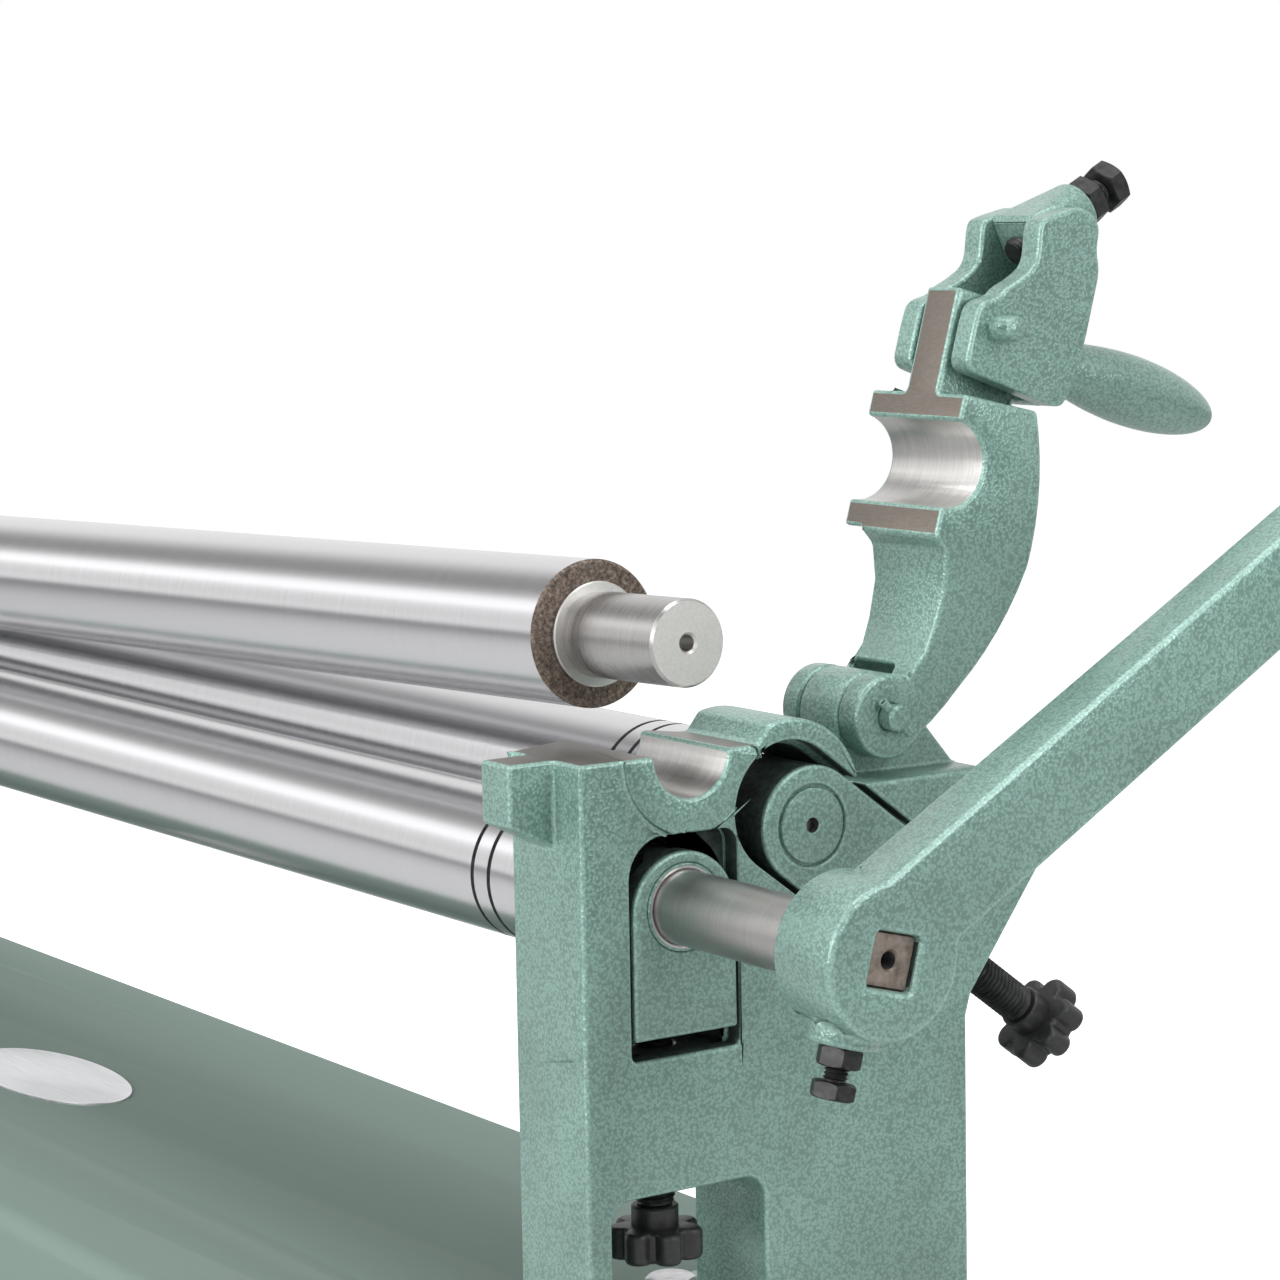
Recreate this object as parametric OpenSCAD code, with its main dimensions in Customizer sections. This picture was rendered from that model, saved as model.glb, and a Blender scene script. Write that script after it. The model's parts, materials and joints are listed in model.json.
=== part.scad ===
// Slip roll machine for bench use: three ground rolls between two cast end frames on a folded
// sheet base. The front roll is cranked and gears drive the upper roll. A hinged yoke with a
// cam latch opens at the right-hand end so that the upper roll can be lifted for unloading.
// X runs along the rolls towards the crank, Y to the back, Z up. The origin is the centre of
// the bench bolt holes, on the bench.

/* [Rolls] */
// Diameter of the three rolls
roll_d = 50.8; // [49:0.1:51.5]
// Length of the roll bodies
roll_len = 1016; // [800:1:1300]
// Diameter of the journals of the upper roll
journal_d = 29.4; // [27:0.1:30.5]
// Diameter of the front and rear roll shafts in their bearings
shaft_d = 25; // [24.8:0.1:26]
// Diameter of the shoulders between roll body and bearing
shoulder_d = 36; // [32:0.5:38]
// Least space between the upper and front rolls when shut
nip = 0.3; // [0.3:0.05:0.8]
// Distance of the first wire groove from the right-hand end of the roll body
groove_at = 26.8; // [15:0.1:60]
// Distance from one wire groove to the next
groove_step = 10.5; // [8:0.1:15]
// Width of a wire groove
groove_w = 2.2; // [1.5:0.1:4]

/* [Roll positions] */
// Height of the front roll's axis above the bench
axis_h = 265; // [258:1:290]
// Distance of the upper roll's axis behind the front roll's axis
seat_y = 3.35; // [1:0.05:5]
// Distance of the rear roll's axis behind the front roll's axis
rear_y = 53; // [52.5:0.1:54]
// Height of the rear roll's axis above the front roll's axis
rear_z = 21.2; // [20.5:0.1:22]
// Angle of the rear slide below level
slide_angle = 37; // [36:0.5:38]
// Rise of the upper roll at the right-hand frame when it is lifted
lift_rise = 36.1; // [25:0.1:38]

/* [End frames] */
// Thickness of an end frame
frame_t = 42; // [40:0.5:44]
// Distance of the frame's front face ahead of the front roll's axis
frame_front = 40.4; // [39:0.1:44]
// Distance of the frame's rear face behind the front roll's axis
frame_back = 119; // [116:0.5:122]
// Length of the upper bearing along the roll
boss_len = 52; // [50:0.5:56]
// Outside radius of the upper bearing under the saddle
boss_r = 26; // [24:0.1:26.5]
// Space between the upper bearing and the roll body
body_gap = 2.7; // [2.3:0.1:5]
// Wall of the rim over the rear slide
rim_wall = 7.3; // [6:0.1:8]
// Height of the shelf below the yoke hinge, above the front roll's axis
shelf_z = 32.8; // [31:0.1:34]
// Thickness of a frame's foot
foot_t = 16; // [12:0.5:18]
// Reach of a frame's foot inwards from the frame
foot_reach = 44; // [38:0.5:60]
// Width of the hook lug that the latch bolt presses
lug_w = 17.3; // [15:0.1:18]
// Reach of the hook lug ahead of the frame
lug_reach = 17.1; // [16:0.1:18]
// Height of the hook lug's front face
lug_h = 20.5; // [19:0.1:21]

/* [Bearing blocks] */
// Half width of the front bearing block
front_half = 20.5; // [19.5:0.1:21.5]
// Half width of the rear bearing block
rear_half = 20.4; // [19.5:0.1:21]
// Depth of the front block below its roll axis
front_drop = 43; // [40:0.5:45]
// Height of the front block's top above its roll axis
front_top = 18.6; // [17.5:0.1:19.5]
// Length of the rear block's tail down the slide from its roll axis
rear_tail = 38; // [34:0.5:42]
// Outside radius of the front block's bush
bush_r = 14.8; // [14.4:0.1:16]
// Outside radius of the rear block's closed bush
cap_r = 14; // [13.8:0.1:16]
// Clearance of the blocks in their guides
guide_gap = 0.3; // [0.2:0.05:0.5]
// Depth of the rough cast relief round the guides
relief_depth = 8; // [5:0.5:12]
// Travel of the front block down from rest
front_travel = 4; // [2:0.1:4.5]
// Travel of the rear block up towards the other rolls
rear_up = 5.5; // [3:0.1:5.8]
// Travel of the rear block down the slide
rear_down = 28; // [18:0.5:29]

/* [Adjusting screws] */
// Diameter of the adjusting screws
screw_d = 14; // [12:0.1:15]
// Radius over the lobes of the star knobs
knob_r = 16.5; // [15:0.1:18]
// Thickness of the star part of the knobs
knob_t = 11; // [9:0.5:13]
// Lobes of a star knob
knob_lobes = 7; // [5:1:8]
// Length of rear screw between frame and knob
rear_screw_free = 39.5; // [34:0.5:45]
// Length of front screw between the frame's web and the knob
front_screw_free = 9; // [7:0.5:12]

/* [Yoke and latch] */
// Distance of the yoke's hinge behind the front roll's axis
hinge_y = 92; // [91.5:0.1:92.5]
// Height of the yoke's hinge above the front roll's axis
hinge_z = 53.5; // [53:0.1:54]
// Radius of the hinge ears
ear_r = 14.7; // [14:0.1:15]
// Diameter of the hinge pin
hinge_pin_d = 9.2; // [8:0.1:12]
// Angle that the yoke swings open
open_angle = 105.8; // [95:0.1:106]
// Radius of the yoke's curved back
yoke_back_r = 108.8; // [107:0.1:111]
// Width of the yoke's stem
stem_w = 17.4; // [15:0.1:18]
// Thickness of each latch cheek
cheek_t = 10; // [8:0.1:10.5]
// Gap between the latch cheeks
cheek_gap = 21.5; // [20:0.1:22]
// Diameter of the latch pin
latch_pin_d = 9; // [8:0.1:10]
// Length of the latch handle
handle_len = 83; // [70:0.5:100]
// Largest diameter of the latch handle
handle_d = 25.6; // [22:0.1:30]
// Diameter of the latch bolt
latch_bolt_d = 10; // [8:0.1:10]

/* [Crank] */
// Distance of the crank hub from the frame
crank_gap = 81.8; // [75:0.5:95]
// Radius of the crank hub
hub_r = 25.1; // [24:0.1:27]
// Length of the crank hub
hub_len = 29.3; // [28:0.1:34]
// Width of the crank arm
arm_w = 32; // [28:0.5:33]
// Thickness of the crank arm
arm_t = 18; // [15:0.5:20]
// Distance of the grip's axis from the crank's axis
crank_r = 235; // [200:1:240]
// Width across the flats of the front roll's square end
square_w = 17.4; // [16:0.1:17.5]
// Diameter of the crank grip
grip_d = 30; // [26:0.5:34]
// Length of the crank grip
grip_len = 100; // [80:1:120]
// Diameter of the crank's set screw
set_screw_d = 8; // [6:0.1:9]

/* [Gears] */
// Outside radius of the drive gears
gear_r = 28.3; // [27.8:0.1:28.4]
// Root radius of the drive gears
gear_root_r = 20.7; // [20.2:0.1:20.8]
// Width of the drive gears
gear_w = 20; // [16:0.5:22]

/* [Base] */
// Length that the base stands out past each end frame
base_over = 12; // [6:0.5:20]
// Depth of the base from front to back
base_d = 240; // [236:1:270]
// Distance of the base's middle behind the front roll's axis
base_mid = 35; // [33:0.5:40]
// Height of the base
base_h = 94; // [85:1:96]
// Thickness of the base sheet
sheet_t = 2.5; // [2:0.1:3]
// Distance of the bench bolt holes from the ends of the base
bench_end = 74.7; // [64:0.1:200]
// Distance of the bench bolt holes from the front and back of the base
bench_in = 25; // [22:0.5:27]
// Radius of the bench bolt holes
bench_hole_r = 5.5; // [4:0.1:6]

/* [Hidden] */

// Cuts run past the faces that they open by this much
over = 1;
// Radial clearance of a shaft that turns in its bearing
run_gap = 0.05;
// Radial clearance of a piece that is fixed in its hole
fit_gap = 0.02;
// Space between pieces that pass each other
pass_gap = 0.3;
// Facets of bores and large turned surfaces
fine = 72;
// Facets of small fasteners and corners
coarse = 32;

// Height of the upper roll's axis when shut, which is the yoke's parting plane
seat_z = sqrt(pow(roll_d + nip, 2) - pow(seat_y, 2));
// Half the distance between the outer faces of the end frames
face_x = roll_len / 2 + boss_len + body_gap;
// Height of the base's top, counted from the front roll's axis
bed_z = base_h - axis_h;
// Clearance of the upper journal in its saddle, and the saddle's radius
saddle_gap = 0.35;
saddle_r = journal_d / 2 + saddle_gap;

// Directions of the rear slide: along it, down and to the back, and square to it
slide_c = cos(slide_angle);
slide_s = sin(slide_angle);
// Space between blocks and the rough relief, at the rear and at the front
rear_rough = 2.3;
front_rough = 1.2;
// Space past the end of each block's travel
end_spare = 2.4;
// Space past the rear block's round end
slot_spare = 6.4;
// Space above the front block
head_room = 5.4;
// Distance of the rear slot's upper end from the rear roll's axis
slot_up = rear_up + slot_spare;
// Distance of the rear slot's lower end from the rear roll's axis
slot_down = rear_tail + rear_down + end_spare;
// Centre and radius of the rim round the slot's upper end
rim_y = rear_y - slot_up * slide_c;
rim_z = rear_z + slot_up * slide_s;
rim_r = rear_half + rear_rough + rim_wall;
// Distance of the slanted rear face from the rear roll's axis, along the slide
slant_at = 95;
// Reach of the slanted rear face below and above the slide's axis
slant_low = 12.6;
slant_high = 38.6;
// Flange of the blocks that bears on the frame's inner face
flange_t = 3.7;
flange_lip = 3.5;
// End of the roll shoulders, counted from the frame's outer face
shoulder_x = frame_t + 2 * pass_gap + flange_t;

// Corners of the rough relief's top, and its height above the guide's top
window_front_r = 14;
window_rear_r = 6;
window_lift = 0.6;
corner_steps = 8;

// Height of the web under the front block, and size of the window for the knob below it
web_h = 46;
window_h = 55;
window_half = 31;

// Colours
green = [0.36, 0.56, 0.48];
green_dark = [0.33, 0.45, 0.41];
steel = [0.74, 0.74, 0.76];
black = [0.1, 0.1, 0.11];
bronze = [0.66, 0.52, 0.3];
zinc = [0.6, 0.6, 0.62];

// A flat shape drawn in Y and Z, given a thickness along X from x0 to x1
module slab(x0, x1) {
    translate([x0, 0, 0]) rotate([90, 0, 90]) linear_extrude(x1 - x0) children();
}

// A cylinder along X from x0 to x1 with its axis at y, z
module rod_x(x0, x1, r, y = 0, z = 0, facets = fine) {
    translate([x0, y, z]) rotate([0, 90, 0]) cylinder(h = x1 - x0, r = r, $fn = facets);
}

// A ring along X
module ring_x(x0, x1, r_out, r_in, y = 0, z = 0) {
    difference() {
        rod_x(x0, x1, r_out, y, z);
        rod_x(x0 - over, x1 + over, r_in, y, z);
    }
}

// A hexagon prism along Z, by its width across flats
module hex(af, h) { cylinder(h = h, r = af / sqrt(3), $fn = 6); }

// Points of an arc about cy, cz
function arc_points(cy, cz, r, a0, a1, steps) =
    [for (i = [0 : steps]) let (a = a0 + (a1 - a0) * i / steps) [cy + r * cos(a), cz + r * sin(a)]];

// A rectangle with rounded corners, from its low corner to its high corner
module round_rect(y0, z0, y1, z1, r) {
    translate([y0 + r, z0]) square([y1 - y0 - 2 * r, z1 - z0]);
    translate([y0, z0 + r]) square([y1 - y0, z1 - z0 - 2 * r]);
    for (y = [y0 + r, y1 - r], z = [z0 + r, z1 - r]) translate([y, z]) circle(r, $fn = coarse);
}

// Places of the two ends: x is 0 on a frame's outer face and negative inwards,
// y and z start at the front roll's axis
module right_end() { translate([face_x, -base_mid, axis_h]) children(); }
module left_end() { translate([-face_x, -base_mid, axis_h]) mirror([1, 0, 0]) children(); }

// The rear slide's own axes: Y runs down the slide from the rear roll's axis, Z square to it
module on_slide() { translate([0, rear_y, rear_z]) rotate([-slide_angle, 0, 0]) children(); }
module on_slide_flat() { translate([rear_y, rear_z]) rotate(-slide_angle) children(); }

// Base

// Radius of the base's folded edges, and the width of its inturned bottom flanges
fold_r = 8;
base_flange = 34;
base_half = face_x + base_over;

// Bolts of the frames' feet
foot_bolt_r = 5;
foot_bolt_share = 0.62;
foot_bolt_x = frame_t + foot_reach * foot_bolt_share;
foot_front_share = 0.45;
foot_rear_share = 0.83;
foot_bolt_ys = [-frame_front * foot_front_share, (frame_back - frame_front) / 2,
                frame_back * foot_rear_share];
bolt_head_h = 6.4;
bolt_af = 16;
bolt_tail = 4;
nut_h = 8;

// End plates stand inside the channel's ends and are screwed to its top
plate_flange = 11;
plate_screw_r = 2.5;
plate_head_r = 4.5;
plate_head_h = 2.2;
plate_screw_len = 9;
plate_screw_share = 0.3;
plate_screw_x = base_half - plate_flange / 2;
plate_screw_ys = [-base_d * plate_screw_share, 0, base_d * plate_screw_share];

// Holes in the base's top at one end, s is 1 at the right and -1 at the left
module base_top_holes(s) {
    for (y = foot_bolt_ys)
        translate([s * (face_x - foot_bolt_x), y - base_mid, base_h - sheet_t - over])
            cylinder(h = sheet_t + 2 * over, r = foot_bolt_r + pass_gap, $fn = coarse);
    for (y = plate_screw_ys)
        translate([s * plate_screw_x, y, base_h - sheet_t - over])
            cylinder(h = sheet_t + 2 * over, r = plate_screw_r + fit_gap, $fn = coarse);
}

module base_channel() {
    color(green_dark) difference() {
        union() {
            slab(-base_half, base_half) difference() {
                round_rect(-base_d / 2, -fold_r, base_d / 2, base_h, fold_r);
                round_rect(-base_d / 2 + sheet_t, -2 * fold_r, base_d / 2 - sheet_t,
                           base_h - sheet_t, fold_r - sheet_t);
                translate([-base_d, -2 * fold_r]) square([2 * base_d, 2 * fold_r]);
            }
            for (y = [-base_d / 2, base_d / 2 - base_flange])
                translate([-base_half, y, 0]) cube([2 * base_half, base_flange, sheet_t]);
        }
        for (s = [-1, 1], t = [-1, 1])
            translate([s * (base_half - bench_end), t * (base_d / 2 - bench_in), -over])
                cylinder(h = sheet_t + 2 * over, r = bench_hole_r, $fn = fine);
        for (s = [-1, 1]) base_top_holes(s);
    }
}

module base_end_plate() {
    y_in = base_d / 2 - sheet_t - fit_gap;
    z_in = base_h - sheet_t - fit_gap;
    z_low = sheet_t + fit_gap;
    difference() {
        union() {
            translate([base_half - sheet_t, -y_in, z_low]) cube([sheet_t, 2 * y_in, z_in - z_low]);
            translate([base_half - plate_flange, -y_in + fold_r, z_in - sheet_t])
                cube([plate_flange, 2 * (y_in - fold_r), sheet_t]);
        }
        for (s = [-1, 1]) translate([base_half - sheet_t - over, s * y_in, z_in])
            rotate([45, 0, 0]) translate([0, -fold_r / 2, -fold_r / 2])
                cube([sheet_t + 2 * over, fold_r, fold_r]);
        for (y = plate_screw_ys) translate([plate_screw_x, y, z_in - sheet_t - over])
            cylinder(h = sheet_t + 2 * over, r = plate_screw_r + fit_gap, $fn = coarse);
    }
}
module base_end_plate_right() { color(green_dark) base_end_plate(); }
module base_end_plate_left() { color(green_dark) mirror([1, 0, 0]) base_end_plate(); }

module base_plate_screws() {
    color(zinc) for (s = [-1, 1], y = plate_screw_ys) translate([s * plate_screw_x, y, base_h]) {
        cylinder(h = plate_head_h, r = plate_head_r, $fn = coarse);
        translate([0, 0, -plate_screw_len])
            cylinder(h = plate_screw_len + over, r = plate_screw_r, $fn = coarse);
    }
}

// Blank oval plate on the base's top
oval_l = 130;
oval_w = 55;
oval_t = 1;
oval_y = 30;
oval_steps = 48;
module blank_plate() {
    color(steel) translate([0, oval_y - base_mid, base_h]) linear_extrude(oval_t)
        polygon([for (i = [0 : oval_steps - 1]) let (a = 360 * i / oval_steps)
            [oval_l / 2 * cos(a), oval_w / 2 * sin(a)]]);
}

// End frames

// The yoke's rear bar ends here, and the rim over the rear slide starts behind it
bar_back = 29;
bar_gap = 1.5;
rim_lean_y = 8;
rim_lean_z = 10;
// Rear end and bevel of the shelf
shelf_back = 130;
bevel_y = 9;
bevel_z = 7.8;
// Foot of the slanted rear face
slant_foot = 7.6;

// A point by its distance down the slide from the rear roll's axis, and square to it
function slide_point(t, q) =
    [rear_y + t * slide_c + q * slide_s, rear_z - t * slide_s + q * slide_c];

module frame_outline() {
    low = slide_point(slant_at, -slant_low);
    difference() {
        translate([rim_y, rim_z]) circle(rim_r, $fn = fine);
        polygon([[bar_back + bar_gap, seat_z],
                 [bar_back + bar_gap + rim_lean_y, seat_z + rim_lean_z],
                 [-frame_front, seat_z + rim_lean_z], [-frame_front, seat_z]]);
    }
    polygon([[-frame_front, bed_z], [-frame_front, seat_z], [bar_back + bar_gap, seat_z],
             [rim_y, shelf_z], [shelf_back, shelf_z], [shelf_back + bevel_y, shelf_z - bevel_z],
             slide_point(slant_at, slant_high), low, [frame_back, low[1] - slant_foot],
             [frame_back, bed_z]]);
}

// Opening of the front block's guide, g is the space at its sides
module front_window(g) {
    r = front_half + g;
    arch_z = front_top + head_room - front_half - guide_gap;
    low = front_drop + front_travel + end_spare;
    translate([0, arch_z]) circle(r, $fn = fine);
    translate([-r, end_spare - low]) square([2 * r, low + arch_z - end_spare]);
    translate([end_spare - r, -low]) square([2 * (r - end_spare), end_spare + over]);
    for (s = [-1, 1]) translate([s * (r - end_spare), end_spare - low])
        circle(end_spare, $fn = coarse);
}

// Rough relief round it, with a wide corner at the front of its top and a tight one behind
module front_relief() {
    r = front_half + front_rough;
    top = front_top + head_room + window_lift;
    front_window(front_rough);
    polygon(concat([[-r, 0], [r, 0]],
                   arc_points(r - window_rear_r, top - window_rear_r, window_rear_r, 0, 90,
                              corner_steps),
                   arc_points(window_front_r - r, top - window_front_r, window_front_r, 90, 180,
                              corner_steps)));
}

// Opening of the rear block's guide in the slide's own axes
module rear_slot(g) {
    r = rear_half + g;
    translate([-slot_up, 0]) circle(r, $fn = fine);
    translate([-slot_up, -r]) square([slot_up + slot_down, 2 * r]);
}

// What both frames have cut out of them for the front and rear rolls
module frame_cuts() {
    slab(-frame_t - over, over) front_window(guide_gap);
    slab(-relief_depth, over) front_relief();
    slab(-frame_t - over, over) on_slide_flat() rear_slot(guide_gap);
    slab(-relief_depth, over) on_slide_flat() rear_slot(rear_rough);
    screw_x = -frame_t / 2;
    on_slide() translate([screw_x, slot_down - over, 0]) rotate([-90, 0, 0])
        cylinder(h = slant_at - slot_down + 2 * over, r = screw_d / 2 + run_gap, $fn = fine);
    web_top = -front_drop - front_travel - end_spare;
    translate([screw_x, 0, web_top - web_h - over])
        cylinder(h = web_h + 2 * over, r = screw_d / 2 + run_gap, $fn = fine);
    slab(-frame_t - over, over)
        round_rect(-window_half, web_top - web_h - window_h, window_half, web_top - web_h,
                   fold_r);
    for (y = foot_bolt_ys) translate([-foot_bolt_x, y, bed_z - over])
        cylinder(h = foot_t + 2 * over, r = foot_bolt_r + pass_gap, $fn = coarse);
}

module foot() {
    translate([-frame_t - foot_reach, -frame_front, bed_z])
        cube([foot_reach + over, frame_front + frame_back, foot_t]);
}

// Low round boss about the saddle on the frame's outer face
ring_boss_r = 27.5;
ring_boss_t = 0.8;
module ring_boss() {
    intersection() {
        rod_x(-over, ring_boss_t, ring_boss_r, seat_y, seat_z);
        slab(-over, ring_boss_t)
            polygon([[-frame_front, seat_z], [-frame_front, seat_z - ring_boss_r],
                     [rim_y, seat_z - ring_boss_r], [bar_back, seat_z]]);
    }
}

// Inner part of the upper bearing: a wedge in plan over a half round. The shares follow the
// bearing's reach inwards past the frame and the distance of the frame's front from the saddle
boss_reach = boss_len - frame_t;
boss_plan_shares = [[0, -1.01], [0.6, -0.65], [1, -0.4], [1, 0.42], [0, 0.56]];
boss_depth = 21;
module saddle_boss() {
    span = frame_front + seat_y;
    plan = [for (p = boss_plan_shares) [-frame_t - p[0] * boss_reach, seat_y + p[1] * span]];
    block = [[over - frame_t, plan[0][1]], plan[0], plan[1], plan[2], plan[3], plan[4],
             [over - frame_t, plan[4][1]]];
    translate([0, 0, seat_z - boss_depth]) linear_extrude(boss_depth) polygon(block);
    intersection() {
        slab(-boss_len, over - frame_t) intersection() {
            translate([seat_y, seat_z]) circle(boss_r, $fn = fine);
            translate([seat_y - boss_r, seat_z - boss_r]) square([2 * boss_r, boss_r]);
        }
        translate([0, 0, seat_z - 2 * boss_r]) linear_extrude(2 * boss_r) polygon(block);
    }
}

// Lug of the yoke's hinge: its sides, and the slope behind it
lug_out = 18.3;
lug_in = 39.8;
lug_slope = 40.7;
module hinge_lug() {
    top = [hinge_y + ear_r * cos(lug_slope), hinge_z + ear_r * sin(lug_slope)];
    slab(-lug_in, -lug_out) {
        translate([hinge_y, hinge_z]) circle(ear_r, $fn = fine);
        polygon([[hinge_y - ear_r, shelf_z - over], [hinge_y - ear_r, hinge_z],
                 [hinge_y, hinge_z], top,
                 [top[0] + (top[1] - shelf_z) * tan(lug_slope), shelf_z],
                 [hinge_y + ear_r, shelf_z - over]]);
    }
}

// Lug that the latch bolt presses
hook_mid = 24.35;
hook_under = 8.4;
module hook_lug() {
    slab(-hook_mid - lug_w / 2, -hook_mid + lug_w / 2)
        polygon([[over - frame_front, seat_z], [-frame_front - lug_reach, seat_z],
                 [-frame_front - lug_reach, seat_z - lug_h],
                 [-frame_front, seat_z - lug_h - hook_under],
                 [over - frame_front, seat_z - lug_h - hook_under]]);
}

module right_end_frame() {
    color(green) right_end() difference() {
        union() {
            slab(-frame_t, 0) frame_outline();
            saddle_boss();
            ring_boss();
            hinge_lug();
            hook_lug();
            foot();
        }
        frame_cuts();
        rod_x(-boss_len - over, over, saddle_r, seat_y, seat_z);
        rod_x(-lug_in - over, -lug_out + over, hinge_pin_d / 2 + run_gap, hinge_y, hinge_z);
    }
}

// The left frame's head: a round housing for the swivel of the upper roll
swivel_r = 24;
swivel_half = 17;
head_r = 34;
lip_r = 20;
lip_t = 7.5;
keeper_t = 6;
spigot_len = 7.4;
keeper_screw_r = 2.5;
keeper_screw_at = 29;
keeper_screw_len = 12;
keeper_head_r = 4.2;
keeper_head_h = 3;
swivel_x = -frame_t / 2;
keeper_angles = [4 : 115 : 234];

// Studs of the gear guard
guard_stud_r = 4;
guard_stud_y = 29;
guard_stud_up = 25;
guard_stud_down = 28;
guard_stud_deep = 14;
guard_studs = [[-guard_stud_y, guard_stud_up], [-guard_stud_y, -guard_stud_down],
               [guard_stud_y, -guard_stud_down]];

module left_end_frame() {
    color(green) left_end() difference() {
        union() {
            slab(-frame_t, 0) {
                frame_outline();
                translate([seat_y, seat_z]) circle(head_r, $fn = fine);
            }
            foot();
        }
        frame_cuts();
        rod_x(lip_t - frame_t, over, swivel_r + run_gap, seat_y, seat_z);
        rod_x(-frame_t - over, over, lip_r, seat_y, seat_z);
        for (a = keeper_angles)
            rod_x(keeper_t - keeper_head_h - keeper_screw_len - over, over, keeper_screw_r + fit_gap,
                  seat_y + keeper_screw_at * cos(a), seat_z + keeper_screw_at * sin(a), coarse);
        for (s = guard_studs)
            rod_x(-guard_stud_deep - over, over, guard_stud_r + fit_gap, s[0], s[1], coarse);
    }
}

module foot_bolt(y) {
    translate([-foot_bolt_x, y, bed_z + foot_t]) {
        hex(bolt_af, bolt_head_h);
        translate([0, 0, -foot_t - sheet_t - nut_h - bolt_tail])
            cylinder(h = foot_t + sheet_t + nut_h + bolt_tail + over, r = foot_bolt_r,
                     $fn = coarse);
    }
}
module frame_bolts() {
    color(zinc) right_end() for (y = foot_bolt_ys) foot_bolt(y);
    color(zinc) left_end() for (y = foot_bolt_ys) foot_bolt(y);
}

module foot_nut(y) {
    translate([-foot_bolt_x, y, bed_z - sheet_t - nut_h]) difference() {
        hex(bolt_af, nut_h);
        translate([0, 0, -over])
            cylinder(h = nut_h + 2 * over, r = foot_bolt_r + fit_gap, $fn = coarse);
    }
}
module frame_nuts() {
    color(zinc) right_end() for (y = foot_bolt_ys) foot_nut(y);
    color(zinc) left_end() for (y = foot_bolt_ys) foot_nut(y);
}

// Bearing blocks and their screws

// Nose of an adjusting screw in its block, and stub of the screw in its knob
nose_r = 5;
nose_len = 8;
stub_r = 5;
knob_hub_r = 8;
knob_hub_t = 7;
block_back = frame_t + pass_gap + flange_t;

module front_block() {
    arch_z = front_top - front_half;
    difference() {
        union() {
            slab(-block_back, 0) {
                translate([0, arch_z]) circle(front_half, $fn = fine);
                translate([-front_half, -front_drop])
                    square([2 * front_half, front_drop + arch_z]);
            }
            flange_half = front_half + flange_lip;
            slab(-block_back, -frame_t - pass_gap)
                translate([-flange_half, -front_drop])
                    square([2 * flange_half, front_drop + front_top]);
        }
        rod_x(-block_back - over, over, bush_r + fit_gap);
        translate([-frame_t / 2, 0, -front_drop - over])
            cylinder(h = nose_len + over + pass_gap, r = nose_r + run_gap, $fn = fine);
    }
}
module front_block_right() { color(green) right_end() front_block(); }
module front_block_left() { color(green) left_end() front_block(); }

module front_bush() { ring_x(-block_back, 0, bush_r, shaft_d / 2 + run_gap); }
module front_bush_right() { color(steel) right_end() front_bush(); }
module front_bush_left() { color(steel) left_end() front_bush(); }

// An adjusting screw along Z, its nose at the top, len is the length of its thread
module adjusting_screw(len) {
    translate([0, 0, -len]) cylinder(h = len, r = screw_d / 2, $fn = fine);
    translate([0, 0, -over]) cylinder(h = over + nose_len, r = nose_r, $fn = fine);
    translate([0, 0, -len - knob_hub_t - knob_t + over])
        cylinder(h = knob_hub_t + knob_t, r = stub_r, $fn = fine);
}

// A star knob along Z, its hub up at z 0
lobe_r = 4.3;
core_share = 0.76;
module star_knob() {
    difference() {
        union() {
            translate([0, 0, -knob_hub_t - knob_t]) linear_extrude(knob_t) {
                circle(knob_r * core_share, $fn = fine);
                for (i = [0 : knob_lobes - 1]) rotate(360 * i / knob_lobes)
                    translate([knob_r - lobe_r, 0]) circle(lobe_r, $fn = coarse);
            }
            translate([0, 0, -knob_hub_t - over]) cylinder(h = knob_hub_t + over, r = knob_hub_r,
                                                          $fn = fine);
        }
        translate([0, 0, -knob_hub_t - knob_t - over])
            cylinder(h = knob_hub_t + knob_t + 2 * over, r = stub_r + fit_gap, $fn = fine);
    }
}

front_thread = front_travel + end_spare + web_h + front_screw_free;
module front_screw_place() { translate([-frame_t / 2, 0, -front_drop - pass_gap]) children(); }
module front_screw() { front_screw_place() adjusting_screw(front_thread); }
module front_knob() { front_screw_place() translate([0, 0, -front_thread - fit_gap]) star_knob(); }
module front_screw_right() { color(black) right_end() front_screw(); }
module front_screw_left() { color(black) left_end() front_screw(); }
module front_knob_right() { color(black) right_end() front_knob(); }
module front_knob_left() { color(black) left_end() front_knob(); }

// Closed outer end of the rear bush, with a small hole
cap_t = 4;
cap_hole_r = 2.6;
module rear_block() {
    difference() {
        union() {
            slab(-block_back, 0) on_slide_flat() {
                circle(rear_half, $fn = fine);
                translate([0, -rear_half]) square([rear_tail, 2 * rear_half]);
            }
            flange_half = rear_half + flange_lip;
            slab(-block_back, -frame_t - pass_gap) on_slide_flat()
                translate([0, -flange_half]) square([rear_tail, 2 * flange_half]);
        }
        rod_x(-block_back - over, over, cap_r + fit_gap, rear_y, rear_z);
        on_slide() translate([-frame_t / 2, rear_tail + over, 0]) rotate([90, 0, 0])
            cylinder(h = nose_len + over + pass_gap, r = nose_r + run_gap, $fn = fine);
    }
}
module rear_block_right() { color(green) right_end() rear_block(); }
module rear_block_left() { color(green) left_end() rear_block(); }

module rear_bush() {
    difference() {
        rod_x(-block_back, 0, cap_r, rear_y, rear_z);
        rod_x(-block_back - over, -cap_t, shaft_d / 2 + run_gap, rear_y, rear_z);
        rod_x(-cap_t - over, over, cap_hole_r, rear_y, rear_z, coarse);
    }
}
module rear_bush_right() { color(green) right_end() rear_bush(); }
module rear_bush_left() { color(green) left_end() rear_bush(); }

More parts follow.
